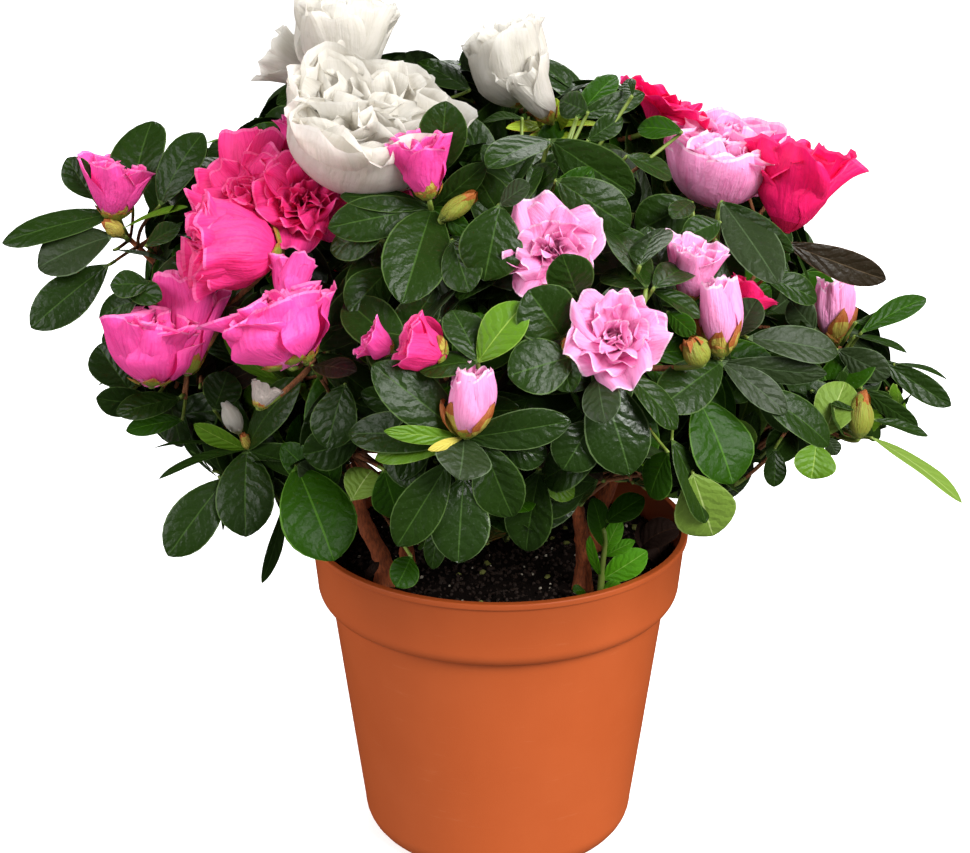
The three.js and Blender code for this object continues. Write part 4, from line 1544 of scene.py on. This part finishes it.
rng = np.random.default_rng(13)
foot = at_y(*SHOOT_FOOT, SHOOT_Y)
foot[2] = peat_top - 1
route = np.vstack([foot, *[at_y(*point, SHOOT_Y) for point in SHOOT_NODES]])
line, places = smooth_route(route, 2.0)
young_stem = tube(line, np.linspace(*YOUNG_STEM_R, len(line)), 8)
for base_at, tip_at, place_y, nearer, width, tone in SHOOT_LEAVES:
    root, tip = at_y(*base_at, place_y), at_y(*tip_at, place_y - nearer)
    face = to_camera + np.array((0, 0, 0.9))
    curl = 0.5 if tone != "dead" else 1.3
    leaves.append(one_leaf(root, tip, face, rng.normal(0, 20), width, tone, curl))


# ---- Leaves ---------------------------------------------------------------------------------------
# Small leathery leaves, widest past the middle, with a sunk pale midrib, rounded halves, a pale
# bristly rim and a tiny point. Each tone is joined into meshes of up to a thousand leaves each.
ALONG = np.array([0, 0.05, 0.13, 0.23, 0.34, 0.45, 0.56, 0.67, 0.77, 0.86, 0.93, 0.98, 1.0])
ACROSS = np.array([-1, -0.95, -0.55, -0.03, 0.03, 0.55, 0.95, 1])
# The half width along the blade, as a share of the widest.
LEAF_OUTLINE = ALONG**0.76 * (1 - ALONG**1.95) ** 0.72 / 0.482
LEAF_FOLD = 0.34
LEAF_CAMBER = 0.30
PETIOLE_HALF = 0.45
# Blade, midrib and rim colours of each tone, its roughness, its shine and the record's slot.
LEAF_TONES = {
    "dark": ("1b2f08", "304a16", "3e5424", 0.28, 0.17, "foliage"),
    "shiny": ("1a2e08", "304a16", "4a5e34", 0.23, 0.42, "foliage"),
    "dull": ("223014", "384a2a", "4a5a3c", 0.40, 0.22, "foliage"),
    "mid": ("1e3e02", "385e12", "42641e", 0.32, 0.1, "foliage"),
    "bronze": ("241c10", "463824", "46301c", 0.36, 0.25, "foliage"),
    "light": ("4c7010", "748f34", "6a882e", 0.36, 0.2, "young_leaf"),
    "pale": ("627c2c", "90a25e", "768c44", 0.45, 0.15, "young_leaf"),
    "bract": ("94ac2c", "a8b848", "b07430", 0.42, 0.25, "young_leaf"),
    "young": ("549a14", "88bc48", "6cae30", 0.34, 0.25, "young_leaf"),
    "yellow": ("b4a84a", "c8bc60", "c0b050", 0.50, 0.2, "young_leaf"),
    "dead": ("24130b", "3a2417", "301c10", 0.75, 0.2, "bark"),
}
LEAVES_TO_A_PIECE = 1000
# How much the pale hairs show on a young blade, on an old one and on the midrib and rim, and how much
# rougher the midrib and rim are than the blade.
YOUNG_HAIRS = 0.03
OLD_HAIRS = 0.12
EDGE_HAIRS = 0.1
EDGE_ROUGHER = 0.1


def leaf_grid(items, rng):
    """Points of many leaves at once: leaf, along, across, place in mm."""
    root, tip, face = [np.array([leaf[k] for leaf in items]) for k in ("root", "tip", "face")]
    turn = np.radians([leaf["turn"] for leaf in items])[:, None]
    width = np.array([leaf["width"] for leaf in items])[:, None, None]
    curl = np.array([leaf["curl"] for leaf in items])[:, None]
    chord = tip - root
    span = np.linalg.norm(chord, axis=1)[:, None]
    aim = chord / span
    up = face - aim * (face * aim).sum(1)[:, None]
    up /= np.linalg.norm(up, axis=1)[:, None]
    side = np.cross(aim, up)
    up = up * np.cos(turn) + side * np.sin(turn)
    side = np.cross(aim, up)
    length = span * (curl / 2) / np.sin(curl / 2)
    first = aim * np.cos(curl / 2) + up * np.sin(curl / 2)
    first_up = up * np.cos(curl / 2) - aim * np.sin(curl / 2)
    bend = (curl * ALONG[None])[..., None]
    forward = first[:, None] * np.sin(bend) - first_up[:, None] * (1 - np.cos(bend))
    middle = root[:, None] + forward * (length / curl)[..., None]
    normal = first_up[:, None] * np.cos(bend) + first[:, None] * np.sin(bend)
    half = width / 2 * LEAF_OUTLINE[None, :, None]
    half = np.maximum(half, np.where(ALONG < 0.1, PETIOLE_HALF, 0.12)[None, :, None])
    t = ACROSS[None, None]
    fold = LEAF_FOLD * rng.uniform(0.6, 1.6, (len(items), 1, 1))
    ripple = rng.uniform(0, ANY_TURN, (2, len(items), 1, 1))
    s = ALONG[None, :, None]
    wave = np.sin(9 * s + ripple[0]) * np.sign(t) + np.sin(6 * s + ripple[1])
    lift = half * (fold * np.abs(t) - LEAF_CAMBER * t**2) + 0.045 * half * wave * t**2
    points = middle[:, :, None] + side[:, None, None] * (half * t)[..., None]
    return points + normal[:, :, None] * lift[..., None]


def leaf_finish(name, colour, roughness, shine, hairs):
    """A satin leaf surface: side veins from the leaf's own map, and fine pimples under short hairs."""
    finish, tree = new_finish(name)
    place = tree.place()
    own = tree.add("ShaderNodeUVMap")
    across, along = [tree.add("ShaderNodeSeparateXYZ", None, [own], axis) for axis in ("X", "Y")]
    outward = tree.add("ShaderNodeMath", {"operation": "ABSOLUTE"}, [across - 0.5])
    bent = along * 6 - outward * 3.4 + tree.noise(place, 260, 2) * 1.6
    veins = outward.math("PINGPONG", bent, 0.5)
    pimples = tree.noise(place, 1500, 3, 0.65)
    quilting = tree.noise(place, 330, 2, 0.5)
    speckle = tree.span(pimples, 0.62, 0.76)
    blade = tree.mixed(speckle * hairs, shade(colour), shade("8d9a80"))
    thread = tree.span(veins, 0.0, 0.07, 1.0, 0.0)
    blade = tree.mixed(thread * 0.18, blade, [min(1, c * 2.1 + 0.01) for c in shade(colour)])
    relief = tree.bump(veins * 0.6 + pimples * 0.12 + quilting * 0.6, 0.6, 0.0009)
    close_finish(tree, blade, roughness + pimples * 0.16, relief, shine)
    return finish


rng = np.random.default_rng(71)
rows, columns = len(ALONG), len(ACROSS)
cells = grid_faces(rows, columns)
mid_s = ALONG[cells // columns].mean(1)
mid_t = np.abs(ACROSS[cells % columns].mean(1))
leaf_zone = np.where(mid_t < 0.05, 1, np.where((mid_t > 0.95) | (mid_s < 0.04), 2, 0))
own_map = np.stack([(ACROSS[cells % columns] + 1) / 2, ALONG[cells // columns]], -1).reshape(-1, 2)


def mapped_piece(name, spots, faces, zones, own_places, finishes):
    """A joined piece: corners in mm, faces, a finish for each face and its own map."""
    piece = piece_from(name, spots * MM, faces.tolist())
    for finish in finishes:
        piece.data.materials.append(finish)
    piece.data.polygons.foreach_set("material_index", zones.astype(np.int32))
    layer = piece.data.uv_layers.new(name="own_map")
    layer.data.foreach_set("uv", own_places.astype(np.float32).ravel())
    piece.data.update()
    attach(piece, "root")
    return piece


mass_nodes = [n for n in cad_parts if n.startswith("mass_")]
for tone, (blade, midrib, rim, roughness, shine, slot) in LEAF_TONES.items():
    items = [leaf for leaf in leaves if leaf["tone"] == tone]
    if not items:
        continue
    hairs = YOUNG_HAIRS if slot == "young_leaf" else OLD_HAIRS
    finishes = [
        leaf_finish(f"{tone}_blade", blade, roughness, shine, hairs),
        leaf_finish(f"{tone}_midrib", midrib, roughness + EDGE_ROUGHER, shine, EDGE_HAIRS),
        leaf_finish(f"{tone}_rim", rim, roughness + EDGE_ROUGHER, shine, EDGE_HAIRS),
    ]
    for first_leaf in range(0, len(items), LEAVES_TO_A_PIECE):
        batch = items[first_leaf : first_leaf + LEAVES_TO_A_PIECE]
        spots = leaf_grid(batch, rng).reshape(-1, 3)
        first = np.arange(len(batch))[:, None, None] * rows * columns
        faces = (cells[None] + first).reshape(-1, 4)
        zones = np.tile(leaf_zone, len(batch))
        name = f"leaves_{tone}_{first_leaf // LEAVES_TO_A_PIECE + 1}"
        piece = mapped_piece(name, spots, faces, zones, np.tile(own_map, (len(batch), 1)), finishes)
        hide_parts(*(mass_nodes if slot == "foliage" else ["basal_shoot"]))


# ---- Petals and scales ----------------------------------------------------------------------------
# Thin silky petals, veined lengthwise, that let some light through. Throats are deeper and rims
# paler. Bud scales are dry and brown-orange over the soft yellow-green calyx.

# Body, throat, rim and vein colours of each kind, its roughness, the share of light that it lets
# through and the record's slot.
PETAL_COLOURS = {
    "hot_pink": ("f852ac", "f684c4", "ff84c4", "d41c80", 0.45, 0.25, "hot_pink_blossom"),
    "deep_pink": ("f83e94", "d01868", "ff6cae", "cc1060", 0.45, 0.35, "hot_pink_blossom"),
    "pale_pink": ("fdaada", "f068b0", "ffd4ec", "ee78b8", 0.5, 0.3, "pale_pink_blossom"),
    "white": ("e4e0d8", "d2d49e", "e8e5de", "cfcbbc", 0.5, 0.5, "white_blossom"),
    "faded": ("b0a49c", "a0947c", "bcb0a8", "", 0.6, 0.2, "white_blossom"),
    "crimson": ("f8146c", "d40c4c", "ff3c84", "", 0.5, 0.25, "crimson_blossom"),
    "scale": ("bcae4c", "98a040", "a8602a", "8c3410", 0.45, 0.1, "young_leaf"),
    "calyx": ("8f9c34", "7c9030", "a87430", "a05820", 0.45, 0.1, "young_leaf"),
    "leaf_bud": ("8a9434", "7c9038", "a8602a", "94501c", 0.45, 0.1, "young_leaf"),
}


def petal_finish(name, colour, veined, roughness, through):
    """A silky petal surface with fine veins that run from base to rim."""
    finish, tree = new_finish(name)
    own = tree.add("ShaderNodeUVMap")
    streaks = tree.noise(tree.scaled(own, (26, 2.2, 1)), 1.0, 4, 0.6)
    crinkle = tree.noise(tree.scaled(own, (7, 5, 1)), 1.0, 5, 0.6)
    dark = shade(veined) if veined else [c * 0.66 for c in shade(colour)]
    vein = tree.span(streaks, 0.48, 0.7) * (0.9 if name[:5] == "scale" else 0.6)
    skin = tree.mixed(vein, shade(colour), dark)
    relief = tree.bump(streaks + crinkle * 1.2, 0.7, 0.0009)
    close_finish(tree, skin, roughness + crinkle * 0.1, relief, 0.35, through)
    return finish


for colour, store in petal_stores.items():
    *codes, veined, roughness, through, slot = PETAL_COLOURS[colour]
    finishes = [
        petal_finish(f"{colour}_{part}", code, veined, roughness, through)
        for part, code in zip(("body", "throat", "rim"), codes)
    ]
    spots = np.vstack(store["spots"])
    faces = np.vstack(store["faces"])
    zones = np.concatenate(store["zone"])
    piece = mapped_piece(f"petals_{colour}", spots, faces, zones, np.vstack(store["uv"]), finishes)
    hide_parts(*mass_nodes)


# ---- Twigs as meshes ------------------------------------------------------------------------------
# The year-old twigs have the same thin brown bark as the boughs. The new growth is smooth and green.
green_finish, tree = new_finish("green_twig")
place = tree.place()
mottle = tree.noise(place, 180, 3)
colour = tree.mixed(mottle, shade("5c7228"), shade("7c8c3a"))
close_finish(tree, colour, 0.5, tree.bump(mottle, 0.3, 0.0004))
twig_finish = bark("twig_bark", "6a3a1e", "ac6e40")
wood_piece("branchlets", branchlet_parts, bark_finish, mass_nodes)
wood_piece("brown_twigs", twig_parts, twig_finish, mass_nodes)
wood_piece("green_twigs", [*green_parts, young_stem], green_finish, mass_nodes)
